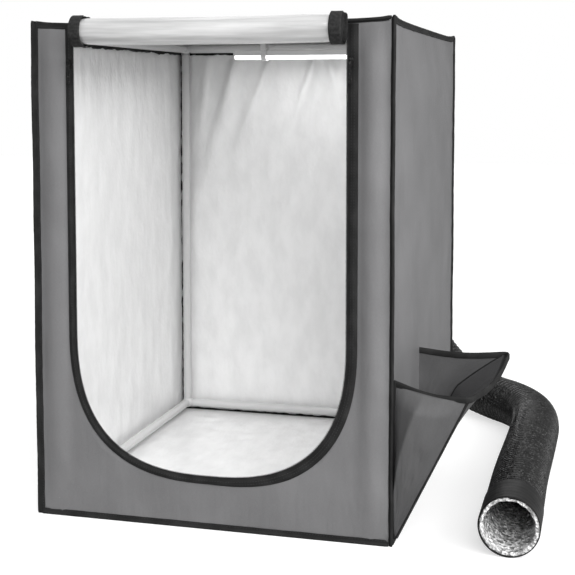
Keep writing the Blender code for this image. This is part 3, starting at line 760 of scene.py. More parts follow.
tape_black = Finish("binding_tape", (0.014, 0.014, 0.015), 0.74, Specular_IOR_Level=0.2)
tape_along, tape_across, _ = tape_black.parts(tape_black.cut())
tape_ribs = (tape_along * (2 * math.pi / RIB_PITCH)).sine() * (0.7 + 0.3 * (tape_across * 2600.0).sine())
tape_fuzz = tape_black.noise(tape_black.cut(), 900.0)
tape_black.bump(0.5 + 0.4 * tape_ribs + 0.4 * tape_fuzz, 0.00018)
tape_fade = tape_black.noise(tape_black.cut((1.0, 3.0, 1.0)), 30.0, detail=3.0)
tape_black.feed("Base Color", tape_black.mix(tape_fade.step(0.35, 0.75), grey(0.009), grey(0.020)))
tape_black.feed("Roughness", 0.62 + 0.2 * tape_fuzz)

thread = Finish("black_thread", (0.022, 0.022, 0.024), 0.50, Specular_IOR_Level=0.3)
thread_along, thread_across, _ = thread.parts(thread.cut())
thread.bump(((thread_along + thread_across) * 9000.0).sine(), 0.0001)
thread.feed("Roughness", 0.42 + 0.16 * thread.noise(thread.cut(), 500.0))


def add_stitches(points, faces, cut, spots, directions, normals):
    """Adds short thread stitches, each a low spindle lying on its spot."""
    section = [(0.00030, 0), (0, 0.00026), (-0.00030, 0), (0, -0.0002)]
    for spot, heading, normal in zip(spots, directions, normals):
        beside = np.cross(heading, normal)
        first = len(points)
        points.append(spot - heading * STITCH_LENGTH / 2 - normal * 0.0002)
        for end in (-0.30, 0.30):
            for across, out in section:
                points.append(spot + heading * STITCH_LENGTH * end + beside * across + normal * out)
        points.append(spot + heading * STITCH_LENGTH / 2 - normal * 0.0002)
        cut += [(p @ heading, p @ beside, 0) for p in points[first:]]
        for i in range(4):
            j = (i + 1) % 4
            faces.append([first, first + 1 + i, first + 1 + j])
            faces.append([first + 1 + i, first + 5 + i, first + 5 + j, first + 1 + j])
            faces.append([first + 9, first + 5 + j, first + 5 + i])


def seam_section(a_leg, b_leg, bead):
    """The folded tape's section round an outer corner: how far it stands out from the two cloth faces."""
    t = TAPE_THICK
    points = [(-0.0002, -a_leg), (t * 0.55, -a_leg - 0.0002), (t, -a_leg + 0.0006), (t, -a_leg * 0.66),
              (t, -0.0036)]
    for degrees in (-20, 0, 20, 45, 70, 90, 110):
        angle = math.radians(degrees)
        points.append((-0.0004 + bead * math.cos(angle), -0.0004 + bead * math.sin(angle)))
    points += [(-0.0036, t), (-b_leg * 0.66, t), (-b_leg + 0.0006, t), (-b_leg - 0.0002, t * 0.55),
               (-b_leg, -0.0002)]
    points += [(-0.0040, -0.0004), (-0.0012, -0.0012), (-0.0004, -0.0040)]
    return points


def add_seam(name, node, start, end, out_a, out_b, seed, leg=TAPE_LEG, end_leg=None, bead_r=BEAD_R):
    """One bound edge from start to end, on the corner where the faces that look along out_a and out_b meet.

    The tape covers leg of each cloth face at the start, and end_leg at the end.
    """
    end_leg = end_leg or leg
    start, end = np.array(start, float), np.array(end, float)
    length = np.linalg.norm(end - start)
    heading = (end - start) / length
    rings = round(length / SEAM_STEP) + 1
    points, cut, sides = [], [], 0
    for k in range(rings):
        walked = length * k / (rings - 1)
        centre = start + heading * walked
        width = leg + (end_leg - leg) * k / (rings - 1)
        bead = bead_r * (1 + 0.10 * soft(walked, 0, 60, 0, seed))
        legs = [width + 0.0005 * soft(walked, 0, 35, 0, seed + side) for side in (1, 2)]
        closing = 0.55 if k in (0, rings - 1) else 1.0
        section = seam_section(*legs, bead)
        sides = len(section)
        for i, (a, b) in enumerate(section):
            ripple = 0.00016 * soft(walked, i, 230, 0.7, seed + 5)
            spot = centre + out_a * (a * closing + ripple) + out_b * (b * closing + ripple)
            points.append(np.array(settle(spot)))
            cut.append((walked, i * 0.0016, seed))
    turn = np.cross(out_a, out_b) @ heading < 0
    faces = grid_faces(rings, sides, wrap_columns=True, flip=not turn)
    ends = [list(range(sides)), [len(points) - 1 - i for i in range(sides)]]
    faces += [end[::-1] if turn else end for end in ends]
    tape_count = len(faces)
    spots, normals = [], []
    for out, back in ((out_a, out_b), (out_b, out_a)):
        for walked in np.arange(0.006, length - 0.005, STITCH_PITCH):
            inset = leg + (end_leg - leg) * walked / length - STITCH_IN
            spots.append(np.array(settle(start + heading * walked + out * TAPE_THICK - back * inset)))
            normals.append(out)
    add_stitches(points, faces, cut, spots, [heading] * len(spots), normals)
    mesh = skin(name, points, 0, 0, cut=cut, faces=faces)
    seam = add_piece(name, mesh, [tape_black, thread], "tent", [node])
    for face in list(mesh.polygons)[tape_count:]:
        face.material_index = 1
    return seam


UPRIGHT_TOP = ROOF_Z + 0.0012
UPRIGHT_TAPES = {  # the tape's width on each cloth face and the radius of its fold
    ("front", "left"): (TAPE_LEG_WIDE, BEAD_R),
    ("front", "right"): (TAPE_LEG_NARROW, BEAD_R),
    ("back", "left"): (TAPE_LEG, BEAD_R_BACK),
    ("back", "right"): (TAPE_LEG, BEAD_R_BACK),
}
END_GAP = 0.0045  # where a level seam stops short of an upright one
for front, y in (("front", -1), ("back", 1)):
    for hand, x in (("left", -1), ("right", 1)):
        place = (x * HALF_X, y * HALF_Y)
        leg, bead_r = UPRIGHT_TAPES[front, hand]
        add_seam(f"seam_{front}_{hand}", f"binding_{front}_{hand}", (*place, 0.0004), (*place, UPRIGHT_TOP),
                 X_AXIS * x, Y_AXIS * y, 10 * x + 3 * y, leg, bead_r=bead_r)
for level, z, out in (("base", 0.0012, -1), ("top", ROOF_Z, 1)):
    for front, y in (("front", -1), ("back", 1)):
        reach = HALF_X - END_GAP
        end_leg = TAPE_LEG_NARROW if (front, level) == ("front", "top") else TAPE_LEG
        add_seam(f"seam_{level}_{front}", f"binding_{level}_{front}", (-reach, y * HALF_Y, z),
                 (reach, y * HALF_Y, z), Y_AXIS * y, Z_AXIS * out, 20 + 4 * y + out, TAPE_LEG, end_leg)
    for hand, x in (("left", -1), ("right", 1)):
        reach = HALF_Y - END_GAP
        add_seam(f"seam_{level}_{hand}", f"binding_{level}_{hand}", (x * HALF_X, -reach, z),
                 (x * HALF_X, reach, z), X_AXIS * x, Z_AXIS * out, 30 + 4 * x + out)

# ================================================================ door zip
# The front panel keeps one half of a nylon coil zip: its tape is sewn under a folded black facing, and the
# coil stands along the inner edge. A slider with a long pull waits near the top of each side.
ZIP_FACE_Y = -HALF_Y
COIL_PITCH_ZIP = 0.0017
FACING_EXTRA = 0.60  # how much wider the facing is sewn on the right side than on the left
COIL_WIRE_R = 0.00038
zip_points, zip_at = zip_line(0.0, ROOF_Z - 0.0070, 0.0026)
ZIP_SECTION = [
    (0.0066, 0.0004), (0.0068, -0.0006), (0.0062, -0.0014), (0.0030, -0.0017), (-0.0002, -0.0014),
    (-0.0010, -0.0008),
    (-0.0038, -0.0006), (-0.0052, -0.0005), (-0.0054, 0.0002), (-0.0040, 0.0008), (0.0060, 0.0009),
]  # outwards in the panel's plane, and back from its face


def zip_frames(points):
    """The direction along the zip and the direction outwards from the doorway, at each point."""
    heading = np.gradient(points, axis=0)
    heading /= np.linalg.norm(heading, axis=1)[:, None]
    return heading, np.stack([heading[:, 1], -heading[:, 0]], axis=1)


zip_heading, zip_outward = zip_frames(zip_points)
points, cut = [], []
for (x, z), (ox, oz), walked in zip(zip_points, zip_outward, zip_at):
    for i, (across, back) in enumerate(ZIP_SECTION):
        wave = 0.00022 * soft(walked, i, 120, 0.5, 81)
        reach = across * (1 + FACING_EXTRA * min(1.0, max(0.0, x / 0.12))) if across > 0.001 else across
        points.append((x + ox * reach, ZIP_FACE_Y + back + wave, z + oz * reach))
        cut.append((walked, across, 0))
sides = len(ZIP_SECTION)
faces = grid_faces(len(zip_points), sides, wrap_columns=True)
faces += [list(range(sides))[::-1], list(range(len(points) - sides, len(points)))]
tape_count = len(faces)
spots = []
for walked in np.arange(0.006, zip_at[-1] - 0.005, STITCH_PITCH):
    for across in (0.0053, 0.0012):
        spot = [np.interp(walked, zip_at, zip_points[:, k] + zip_outward[:, k] * across) for k in (0, 1)]
        way = [np.interp(walked, zip_at, zip_heading[:, k]) for k in (0, 1)]
        spots.append((np.array((spot[0], ZIP_FACE_Y - 0.0016, spot[1])), np.array((way[0], 0, way[1]))))
points = [np.array(p) for p in points]
add_stitches(points, faces, cut, [s for s, _ in spots], [w for _, w in spots], [-Y_AXIS] * len(spots))
mesh = skin("zip_facing", points, 0, 0, cut=cut, faces=faces)
add_piece("zip_facing", mesh, [tape_black, thread], "tent", ["zip_tape"])
for face in list(mesh.polygons)[tape_count:]:
    face.material_index = 1

coil_nylon = Finish("coil_nylon", (0.018, 0.018, 0.019), 0.40, Specular_IOR_Level=0.3)
coil_nylon.feed("Roughness", 0.30 + 0.16 * coil_nylon.noise(coil_nylon.place(), 600.0))


def wire(name, path, radius, sides):
    """A wire along a path of points, closed at its ends."""
    path = np.array(path)
    heading = np.gradient(path, axis=0)
    heading /= np.linalg.norm(heading, axis=1)[:, None]
    start = Z_AXIS if abs(heading[0][2]) < 0.9 else X_AXIS
    ups, across = swept_frames(heading, start)
    points = []
    for centre, up, side in zip(path, ups, across):
        for angle in np.linspace(0, 2 * math.pi, sides, endpoint=False):
            points.append(centre + up * radius * math.cos(angle) + side * radius * math.sin(angle))
    faces = grid_faces(len(path), sides, wrap_columns=True, flip=True)
    faces += [list(range(sides)), list(range(len(points) - sides, len(points)))[::-1]]
    return skin(name, points, 0, 0, faces=faces)


coil_turns = zip_at[-1] / COIL_PITCH_ZIP
coil_path = []
for k in range(int(coil_turns * 8)):
    walked, angle = k * COIL_PITCH_ZIP / 8, k * math.pi / 4
    x, z = (np.interp(walked, zip_at, zip_points[:, i]) for i in (0, 1))
    ox, oz = (np.interp(walked, zip_at, zip_outward[:, i]) for i in (0, 1))
    across = -0.0052 + 0.0013 * math.cos(angle)
    coil_path.append((x + ox * across, ZIP_FACE_Y - 0.0004 + 0.0009 * math.sin(angle), z + oz * across))
coil = wire("zip_coil", coil_path, COIL_WIRE_R, 5)
add_piece("zip_coil", coil, [coil_nylon], "tent")

zinc = Finish("black_zinc", (0.030, 0.030, 0.032), 0.34, Metallic=0.85)
zinc_place = zinc.place()
zinc_wear = zinc.noise(zinc_place, 420.0, detail=4.0).step(0.58, 0.70)
zinc.feed("Base Color", zinc.mix(zinc_wear, grey(0.028), grey(0.16)))
zinc.feed("Roughness", 0.28 + 0.2 * zinc.noise(zinc_place, 800.0))


def plate(outline, holes, thickness, bevel):
    """A flat plate in the XZ plane with holes, its edges broken by a bevel, its front face at -Y."""
    bm = bmesh.new()
    edges = []
    for loop in [outline, *holes]:
        verts = [bm.verts.new((x, thickness / 2, z)) for x, z in loop]
        edges += [bm.edges.new((verts[i], verts[(i + 1) % len(verts)])) for i in range(len(verts))]
    bmesh.ops.triangle_fill(bm, edges=edges, use_beauty=True, normal=(0, 1, 0))
    grown = bmesh.ops.extrude_face_region(bm, geom=bm.faces[:])
    moved = [item for item in grown["geom"] if isinstance(item, bmesh.types.BMVert)]
    bmesh.ops.translate(bm, vec=(0, -thickness, 0), verts=moved)
    bmesh.ops.recalc_face_normals(bm, faces=bm.faces)
    if bevel:
        sharp = [e for e in bm.edges if len(e.link_faces) == 2 and e.calc_face_angle() > 1.0]
        rims = [e for e in sharp if abs(e.verts[0].co.y - e.verts[1].co.y) < 1e-7]
        bmesh.ops.bevel(bm, geom=rims, offset=bevel, segments=2, affect="EDGES", clamp_overlap=True)
    return bm


def put(bm, other, offset=(0, 0, 0)):
    """Adds another bmesh, moved by an offset, as a separate shell and frees it."""
    bmesh.ops.translate(other, vec=offset, verts=other.verts)
    mesh = bpy.data.meshes.new("shell")
    other.to_mesh(mesh)
    other.free()
    bm.from_mesh(mesh)
    bpy.data.meshes.remove(mesh)


def finished(name, bm, angle=35):
    mesh = bpy.data.meshes.new(name)
    bm.to_mesh(mesh)
    bm.free()
    mesh.shade_smooth()
    mesh.set_sharp_from_angle(angle=math.radians(angle))
    return mesh


def arc(x, z, radius, start, end, steps):
    """Points on an arc in the XZ plane, in degrees."""
    angles = np.radians(np.linspace(start, end, steps))
    return [(x + radius * math.cos(a), z + radius * math.sin(a)) for a in angles]


SLIDER_HALF = [(0.0, 0.0046), (0.0012, 0.0060), (0.0030, 0.0065), (0.0041, 0.0052), (0.0042, 0.0026),
               (0.0034, -0.0006),
               (0.0033, -0.0042), (0.0022, -0.0063)]
slider_outline = [(x, z) for x, z in SLIDER_HALF] + [(-x, z) for x, z in reversed(SLIDER_HALF[1:])]
EYE_DROP = 0.0033  # the pull's bar above the slider's middle
for hand in ("left", "right"):
    low, high = (Vector(c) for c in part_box("zip_slider_" + hand))
    centre, face = (low + high) / 2, high.y
    body = bmesh.new()
    for depth, thick in ((-0.0005, 0.0010), (-0.0031, 0.0012)):
        put(body, plate(slider_outline, [], thick, 0.00030), (centre.x, face + depth, centre.z))
    wedge = [(0.0, 0.0044), (0.0011, 0.0034), (0.0006, -0.0005), (-0.0006, -0.0005), (-0.0011, 0.0034)]
    put(body, plate(wedge, [], 0.0018, 0.0), (centre.x, face - 0.0018, centre.z))
    for side in (-1, 1):
        lip = [(side * 0.0040, 0.0024), (side * 0.0033, -0.0006), (side * 0.0032, -0.0042),
               (side * 0.0024, -0.0042),
               (side * 0.0026, -0.0006), (side * 0.0033, 0.0024)]
        put(body, plate(lip, [], 0.0010, 0.0002), (centre.x, face - 0.0022, centre.z))
    arch = plate(
        arc(0, 0, 0.00245, 0, 180, 15) + [(-0.00245, -0.0022)] + [(-0.0014, -0.0022)]
        + arc(0, 0, 0.0014, 180, 0, 11) + [(0.0014, -0.0022), (0.00245, -0.0022)], [], 0.0016, 0.0003,
    )
    # the arch is drawn upright in the XZ plane, then laid so that it stands out from the slider along its length
    for vertex in arch.verts:
        vertex.co = Vector((vertex.co.y, -vertex.co.z, vertex.co.x))
    bmesh.ops.recalc_face_normals(arch, faces=arch.faces)
    put(body, arch, (centre.x, face - 0.0055, centre.z + EYE_DROP))
    slider_mesh = finished(f"zip_slider_body_{hand}", body)
    add_piece(f"zip_slider_body_{hand}", slider_mesh, [zinc], f"{hand}_slider",
              ["zip_slider_" + hand])

    low, high = (Vector(c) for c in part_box("zip_pull_" + hand))
    hinge = Vector((centre.x, (low.y + high.y) / 2, high.z - 0.0010))
    tab = [(-0.0026, 0.0006), (-0.0028, -0.0060), (-0.0024, -0.0100), (-0.0028, -0.0180), (-0.0028, -0.0300)]
    tab += arc(0, -0.0310, 0.0028, 180, 360, 9) + [(-x, z) for x, z in reversed(tab)]
    window = [(-0.0015, -0.0008), (-0.0015, -0.0048), (0.0015, -0.0048), (0.0015, -0.0008)]
    pull = bmesh.new()
    put(pull, plate(tab, [window, arc(0, -0.0300, 0.0013, 0, 345, 12)], 0.0014, 0.0003), hinge)
    grip = [(-0.0018, -0.0125), (0.0018, -0.0125), (0.0020, -0.0150), (0.0020, -0.0250), (0.0018, -0.0270),
            (-0.0018, -0.0270), (-0.0020, -0.0250), (-0.0020, -0.0150)]
    put(pull, plate(grip, [], 0.0022, 0.0004), hinge)
    pull_mesh = finished(f"zip_pull_tab_{hand}", pull)
    add_piece(f"zip_pull_tab_{hand}", pull_mesh, [zinc], f"{hand}_pull", ["zip_pull_" + hand])

# ================================================================ rolled-up door
# The door is 406 mm wide and 650 mm long, with the zip's other half along its edges. It is rolled up film
# side out, about eight and a half turns, and hangs in front of the lintel, a little pinched where its two
# straps hold it.
ROLL_LOW, ROLL_HIGH = (np.array(c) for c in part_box("door_roll"))
ROLL_Y, ROLL_Z = (ROLL_LOW[1] + ROLL_HIGH[1]) / 2, (ROLL_LOW[2] + ROLL_HIGH[2]) / 2
ROLL_R = (ROLL_HIGH[2] - ROLL_LOW[2]) / 2
ROLL_LEFT, ROLL_RIGHT = ROLL_LOW[0], ROLL_HIGH[0]
DOOR_LENGTH = 0.650
ROLL_CORE_R = 0.0035
ROLL_PITCH = math.pi * (ROLL_R**2 - ROLL_CORE_R**2) / DOOR_LENGTH
DOOR_THICK = 0.0011
ROLL_CLEAR = 0.0004
EDGE_TAPE = 0.0110  # black zip tape along each side of the door
STRAP_WIDTH = 0.018
STRAP_THICK = 0.0014
STRAP_LEFTS = [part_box(f"roll_strap_{hand}")[0][0] for hand in ("left", "right")]

door_film = Finish("door_film", (0.70, 0.70, 0.71), 0.28, Coat_Weight=0.25, Coat_Roughness=0.2)
door_crinkle = door_film.noise(door_film.cut((0.07, 1.7, 1.0)), 40.0, detail=4.0, roughness=0.55)
door_fine = door_film.noise(door_film.cut(), 260.0, detail=3.0)
door_film.bump(door_crinkle + door_fine * 0.06, 0.0026)
# painted shade: the film's colour is darker in the valleys of its crinkles, which run along the roll, and lighter
# on their ridges
door_film.feed("Base Color", door_film.mix(door_crinkle.step(0.34, 0.66), grey(0.50), grey(0.80)))
door_film.feed("Roughness", 0.24 + 0.20 * door_film.noise(door_film.cut(), 60.0))
door_film.feed("Metallic", 0.22 + 0.20 * door_crinkle)

roll_turns = (ROLL_R - ROLL_CORE_R) / ROLL_PITCH
roll_rows = round(roll_turns * 44)
roll_columns = 72
edge_share = EDGE_TAPE / (ROLL_RIGHT - ROLL_LEFT)
middle_columns = np.linspace(edge_share, 1 - edge_share, roll_columns - 4)
column_shares = [0.0, edge_share * 0.5, *middle_columns, 1 - edge_share * 0.5, 1.0]
outer, inner, cut = [], [], []
for k in range(roll_rows):
    share = k / (roll_rows - 1)
    turned_by = share * roll_turns * 2 * math.pi
    radius = ROLL_R - ROLL_CLEAR - ROLL_PITCH * turned_by / (2 * math.pi)
    angle = math.radians(62) + turned_by
    for j, across in enumerate(column_shares):
        shift = 0.0016 * soft(turned_by, 0, 1.1, 0, 91) * (1 - 2 * across)
        x = ROLL_LEFT + (ROLL_RIGHT - ROLL_LEFT) * across + shift
        pinch = sum(math.exp(-(((x - left - STRAP_WIDTH / 2) / 0.014) ** 4)) for left in STRAP_LEFTS)
        waves = 0.0013 * soft(angle, x * 6, 1.9, 1, 93) + 0.0004 * soft(angle, x * 30, 5.0, 1, 95)
        thick = 0.0004 if 0.03 < across < 0.97 else 0.0
        sag = -0.0016 * math.sin(math.pi * across)
        rad = radius - 0.0009 * min(1.0, pinch) * (1 - share) + waves * (1 - share) - thick
        out = np.array((0, math.cos(angle), math.sin(angle)))
        centre = np.array((x, ROLL_Y, ROLL_Z + sag))
        outer.append(centre + out * rad)
        inner.append(centre + out * (rad - DOOR_THICK))
        cut.append((x, share * DOOR_LENGTH, 0))
columns = len(column_shares)
front_faces = grid_faces(roll_rows, columns)
back_faces = grid_faces(roll_rows, columns, first=len(outer), flip=True)
count = len(outer)
edge_pairs = [(k * columns, (k + 1) * columns) for k in range(roll_rows - 1)]
edge_pairs += [((k + 1) * columns + columns - 1, k * columns + columns - 1) for k in range(roll_rows - 1)]
edge_pairs += [(j + 1, j) for j in range(columns - 1)]
edge_pairs += [((roll_rows - 1) * columns + j, (roll_rows - 1) * columns + j + 1) for j in range(columns - 1)]
rim_faces = [[i, j, count + j, count + i] for i, j in edge_pairs]
mesh = skin("door_rolled", outer + inner, 0, 0, cut=cut + cut, faces=front_faces + back_faces + rim_faces)
roll = add_piece("door_rolled", mesh, [door_film, outer_cloth, tape_black], "tent",
                 ["door_roll"])
per_row = columns - 1
kinds = []
for sides_index, faces in enumerate((front_faces, back_faces)):
    for i in range(len(faces)):
        column = i % per_row
        kinds.append(2 if column < 2 or column >= per_row - 2 else sides_index)
kinds += [2] * len(rim_faces)
mesh.polygons.foreach_set("material_index", np.array(kinds, np.int32))

# Two black webbing straps, 18 mm wide, are sewn to the front panel above the doorway. Each goes over and
# round the roll and closes on itself with hook-and-loop tape at the front.
webbing = Finish("strap_webbing", (0.018, 0.018, 0.019), 0.66, Specular_IOR_Level=0.25)
web_along, web_across, _ = webbing.parts(webbing.cut())
web_twill = ((web_along * 2600.0) + (web_across * 2600.0)).sine() * (web_across * 5200.0).sine()
webbing.bump(0.5 + 0.5 * web_twill + 0.3 * webbing.noise(webbing.cut(), 1100.0), 0.0003)
web_fade = webbing.noise(webbing.cut(), 240.0).step(0.35, 0.7)
webbing.feed("Base Color", webbing.mix(web_fade, grey(0.012), grey(0.030)))
webbing.feed("Roughness", 0.58 + 0.2 * webbing.noise(webbing.cut(), 700.0))


def ribbon(name, path, normals, low, high, thickness, wobble=0.0, seed=0.0):
    """A strap across X between low and high, laid along a path of points, standing out along its normals."""
    half, bulge = thickness / 2, thickness * 0.30
    section = [(low, 0), (low + bulge, half), (low + 0.12 * (high - low), half * 1.1),
               ((low + high) / 2, half),
               (high - 0.12 * (high - low), half * 1.1), (high - bulge, half), (high, 0),
               (high - bulge, -half),
               ((low + high) / 2, -half), (low + bulge, -half)]
    points, cut, walked = [], [], 0.0
    for k, (spot, normal) in enumerate(zip(path, normals)):
        walked += float(np.linalg.norm(np.array(spot) - np.array(path[k - 1]))) if k else 0.0
        for x, out in section:
            drift = wobble * soft(walked, 0, 30, 0, seed)
            points.append(np.array(spot) + X_AXIS * (x + drift) + np.array(normal) * out)
            cut.append((x, walked, 0))
    sides = len(section)
    faces = grid_faces(len(path), sides, wrap_columns=True)
    faces += [list(range(sides))[::-1], list(range(len(points) - sides, len(points)))]
    return points, cut, faces


def ribbon_mesh(name, *parts):
    """Several ribbons as one mesh, its faces turned outwards."""
    bm = bmesh.new()
    store = bm.verts.layers.float_vector.new("cut")
    for points, cut, faces in parts:
        verts = [bm.verts.new(p) for p in points]
        for vert, place in zip(verts, cut):
            vert[store] = place
        for face in faces:
            bm.faces.new([verts[i] for i in face])
    bmesh.ops.recalc_face_normals(bm, faces=bm.faces)
    return finished(name, bm, 60)


def round_roll(radius, start, end, steps):
    """Points and outward directions round the roll, in degrees from straight back, over the top."""
    angles = np.radians(np.linspace(start, end, steps))
    outs = [np.array((0, math.cos(a), math.sin(a))) for a in angles]
    return [np.array((0, ROLL_Y, ROLL_Z)) + out * radius for out in outs], outs


PANEL_FACE_Y = -HALF_Y - 0.0016
for hand, left in zip(("left", "right"), STRAP_LEFTS):
    low, high = left, left + STRAP_WIDTH
    radius = ROLL_R + STRAP_THICK * 0.7
    ring, outs = round_roll(radius, 60, 60 + 345, 80)
    tab_z = ROLL_Z + radius - 0.0012
    sewn = [np.array((0, PANEL_FACE_Y - 0.0006, tab_z - d)) for d in (0.016, 0.008, 0.003)]
    sewn += [np.array((0, PANEL_FACE_Y - 0.0030, tab_z - 0.0004)),
             np.array((0, PANEL_FACE_Y - 0.0090, tab_z + 0.0010))]
    sewn_out = [np.array(n) for n in ((0, -1, 0), (0, -1, 0), (0, -0.9, 0.4), (0, -0.4, 0.9), (0, 0, 1))]
    path, normals = sewn + ring[2:], sewn_out + outs[2:]
    strap = ribbon("strap", path, normals, low, high, STRAP_THICK, 0.0006, left)
    lap, lap_outs = round_roll(radius + STRAP_THICK * 1.05, 100, 205, 30)
    lap[-1] = lap[-1] - lap_outs[-1] * 0.0002
    overlap = ribbon("overlap", lap, lap_outs, low + 0.0003, high - 0.0003, STRAP_THICK, 0.0004, left + 3)
    points, cut, faces = [], [], []
    spots, ways, outs_at = [], [], []
    for x in (low + 0.0022, high - 0.0022):
        for k in range(4, len(lap) - 3):
            spots.append(lap[k] + lap_outs[k] * STRAP_THICK * 0.5 + X_AXIS * x)
            ways.append(np.cross(lap_outs[k], X_AXIS))
            outs_at.append(lap_outs[k])
    add_stitches(points, faces, cut, spots, ways, outs_at)
    mesh = ribbon_mesh(f"roll_strap_band_{hand}", strap, overlap, (points, cut, faces))
    add_piece(f"roll_strap_band_{hand}", mesh, [webbing], "tent", [f"roll_strap_{hand}"])

# ================================================================ tool pocket
# A pouch of the cover's cloth is sewn to the right wall, deeper at the back than at the front, and narrows
# to nothing at the floor. Its rim is bound with black tape, and a bound seam runs down each of its two
# outer corners.
WALL_X = HALF_X
POCKET_FRONT, POCKET_BACK = (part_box("pocket_rim")[k][1] for k in (0, 1))
POCKET_FRONT += 0.0015
POCKET_BACK -= 0.0015
POCKET_RIM_Z = 0.2380
POCKET_SAG = 0.0180
POCKET_LIFT = 0.0120
POCKET_OUT_FRONT, POCKET_OUT_BACK = 0.1080, 0.1480
POCKET_FOOT_Z = 0.0100
POCKET_THICK = 0.0010
POCKET_TUCK = 0.30  # how much of its reach the pouch loses at the back, just under the flared rim
POCKET_TUCK_LOW = 0.38  # and how much more it loses towards the floor
GUSSET_FOLD = 0.0230
# painted shade: the pouch is the cover's own cloth, coloured darker than the cover as if it stood in shadow
pouch_cloth_painted_shade = woven("pouch_cloth_painted_shade", 0.048, 0.098)
RIM_TALL = 0.0085


def pocket_rim_line(steps):
    """The rim from the wall at the front, out, along and back to the wall, with softly rounded corners."""
    corners = [
        np.array((WALL_X + 0.0006, POCKET_FRONT, POCKET_RIM_Z)),
        np.array((WALL_X + POCKET_OUT_FRONT, POCKET_FRONT, POCKET_RIM_Z - POCKET_SAG)),
        np.array((WALL_X + POCKET_OUT_BACK, POCKET_BACK, POCKET_RIM_Z + POCKET_LIFT)),
        np.array((WALL_X + 0.0006, POCKET_BACK, POCKET_RIM_Z + POCKET_LIFT)),
    ]
    line, tags = [], []
    for side, (a, b) in enumerate(zip(corners, corners[1:])):
        for t in np.linspace(0, 1, steps[side], endpoint=False):
            dip = -(0.0060, 0.0100, 0.0050)[side] * math.sin(math.pi * t) ** 1.3
            bow = (0.0030, 0.0045, -0.0020)[side] * math.sin(math.pi * t)
            push = (np.array((0, -1, 0)), np.array((1, 0, 0)), np.array((0, 1, 0)))[side]
            line.append(a + (b - a) * t + push * bow + np.array((0, 0, dip)))
            tags.append(side + t)
    line.append(corners[-1])
    tags.append(3.0)
    line = np.array(line)
    for _ in range(3):
        line[1:-1] = line[1:-1] * 0.5 + (line[:-2] + line[2:]) * 0.25
    return line, tags


POCKET_STEPS = (44, 40, 30)
rim_line, rim_tags = pocket_rim_line(POCKET_STEPS)
foot_spots = []
for tag in rim_tags:
    along = min(1.0, max(0.0, tag - 1.0))
    out = 0.0012 + 0.0036 * (1.0 if 0.0 < tag < 3.0 else 0.0) * min(1.0, 4 * tag, 4 * (3 - tag))
    foot_y = POCKET_FRONT + (POCKET_BACK - POCKET_FRONT) * along
    foot_spots.append(np.array((WALL_X + out, foot_y, POCKET_FOOT_Z)))
pocket_rows = 44
rim_heading = np.gradient(rim_line, axis=0)
rim_out = np.array([(h[1], -h[0], 0) / np.hypot(h[0], h[1]) for h in rim_heading])
outer, inner, cut = [], [], []
for r in range(pocket_rows):
    down = r / (pocket_rows - 1)
    for k, tag in enumerate(rim_tags):
        spot = rim_line[k] * (1 - down) + foot_spots[k] * down
        rear = min(1.0, max(0.0, tag - 1.0))
        tuck = min(0.68, POCKET_TUCK * min(1.0, down / 0.24) + POCKET_TUCK_LOW * down) * rear
        spot[0] = WALL_X + (spot[0] - WALL_X) * (1 - tuck)
        side, t = min(2, int(tag)), tag - min(2, int(tag))
        across = math.sin(math.pi * min(1.0, t))
        belly = (0.0050, 0.0050, 0.0020)[side] * across**0.8 * math.sin(math.pi * down**0.8)
        creases = 0.0022 * soft(tag * 3, down * 5, 1, 1, 101) + 0.0011 * soft(tag * 11, down * 9, 1, 1, 103)
        fold_at = max(0.05, 0.42 * (1 - down / 0.80))
        tent_shape = max(0.0, t / fold_at if t < fold_at else (1 - t) / (1 - fold_at))
        dart = GUSSET_FOLD * tent_shape * (1 - down) ** 0.6 * min(1.0, down / 0.12) if side == 0 else 0
        pleat = 0.0
        if side == 1:
            pleat = -0.0030 * math.exp(-(((t - 0.62 + 0.25 * down) / 0.05) ** 2)) * math.sin(math.pi * down)
        lift = across**0.5 * math.sin(math.pi * min(1.0, down + 0.04)) * creases + belly + dart + pleat
        outer.append(spot + rim_out[k] * lift)
        inner.append(spot + rim_out[k] * (lift - POCKET_THICK))
        cut.append((tag * 0.12, -down * 0.24, 0))
columns = len(rim_tags)
count = len(outer)
faces = grid_faces(pocket_rows, columns, flip=True)
faces += grid_faces(pocket_rows, columns, first=count)
edge_pairs = [(j, j + 1) for j in range(columns - 1)]
foot_row = (pocket_rows - 1) * columns
edge_pairs += [(foot_row + j + 1, foot_row + j) for j in range(columns - 1)]
edge_pairs += [((k + 1) * columns, k * columns) for k in range(pocket_rows - 1)]
edge_pairs += [(k * columns + columns - 1, (k + 1) * columns + columns - 1) for k in range(pocket_rows - 1)]
faces += [[j, i, count + i, count + j] for i, j in edge_pairs]
mesh = skin("pocket_cloth", outer + inner, 0, 0, cut=cut + cut, faces=faces)
pocket = add_piece("pocket_cloth", mesh, [pouch_cloth_painted_shade], "tent", ["pocket_pouch"])


def bead(seed, path, radius, sides, squash=1.0, out=None):
    """A round bound edge along a path, given as points, faces and the flat tape's places."""
    path = np.array(path)
    heading = np.gradient(path, axis=0)
    heading /= np.linalg.norm(heading, axis=1)[:, None]
    start = out if out is not None else (Z_AXIS if abs(heading[0][2]) < 0.9 else X_AXIS)
    ups, across = swept_frames(heading, start)
    points, cut, walked = [], [], 0.0
    for k, (centre, up, side) in enumerate(zip(path, ups, across)):
        walked += float(np.linalg.norm(path[k] - path[k - 1])) if k else 0.0
        swell = 1 + 0.08 * soft(walked, 0, 70, 0, seed)
        for i, angle in enumerate(np.linspace(0, 2 * math.pi, sides, endpoint=False)):
            reach = radius * swell
            points.append(centre + up * reach * math.cos(angle) + side * reach * squash * math.sin(angle))
            cut.append((walked, i * radius * 2 * math.pi / sides, 0))
    faces = grid_faces(len(path), sides, wrap_columns=True)
    faces += [list(range(sides))[::-1], list(range(len(points) - sides, len(points)))]
    return points, cut, faces


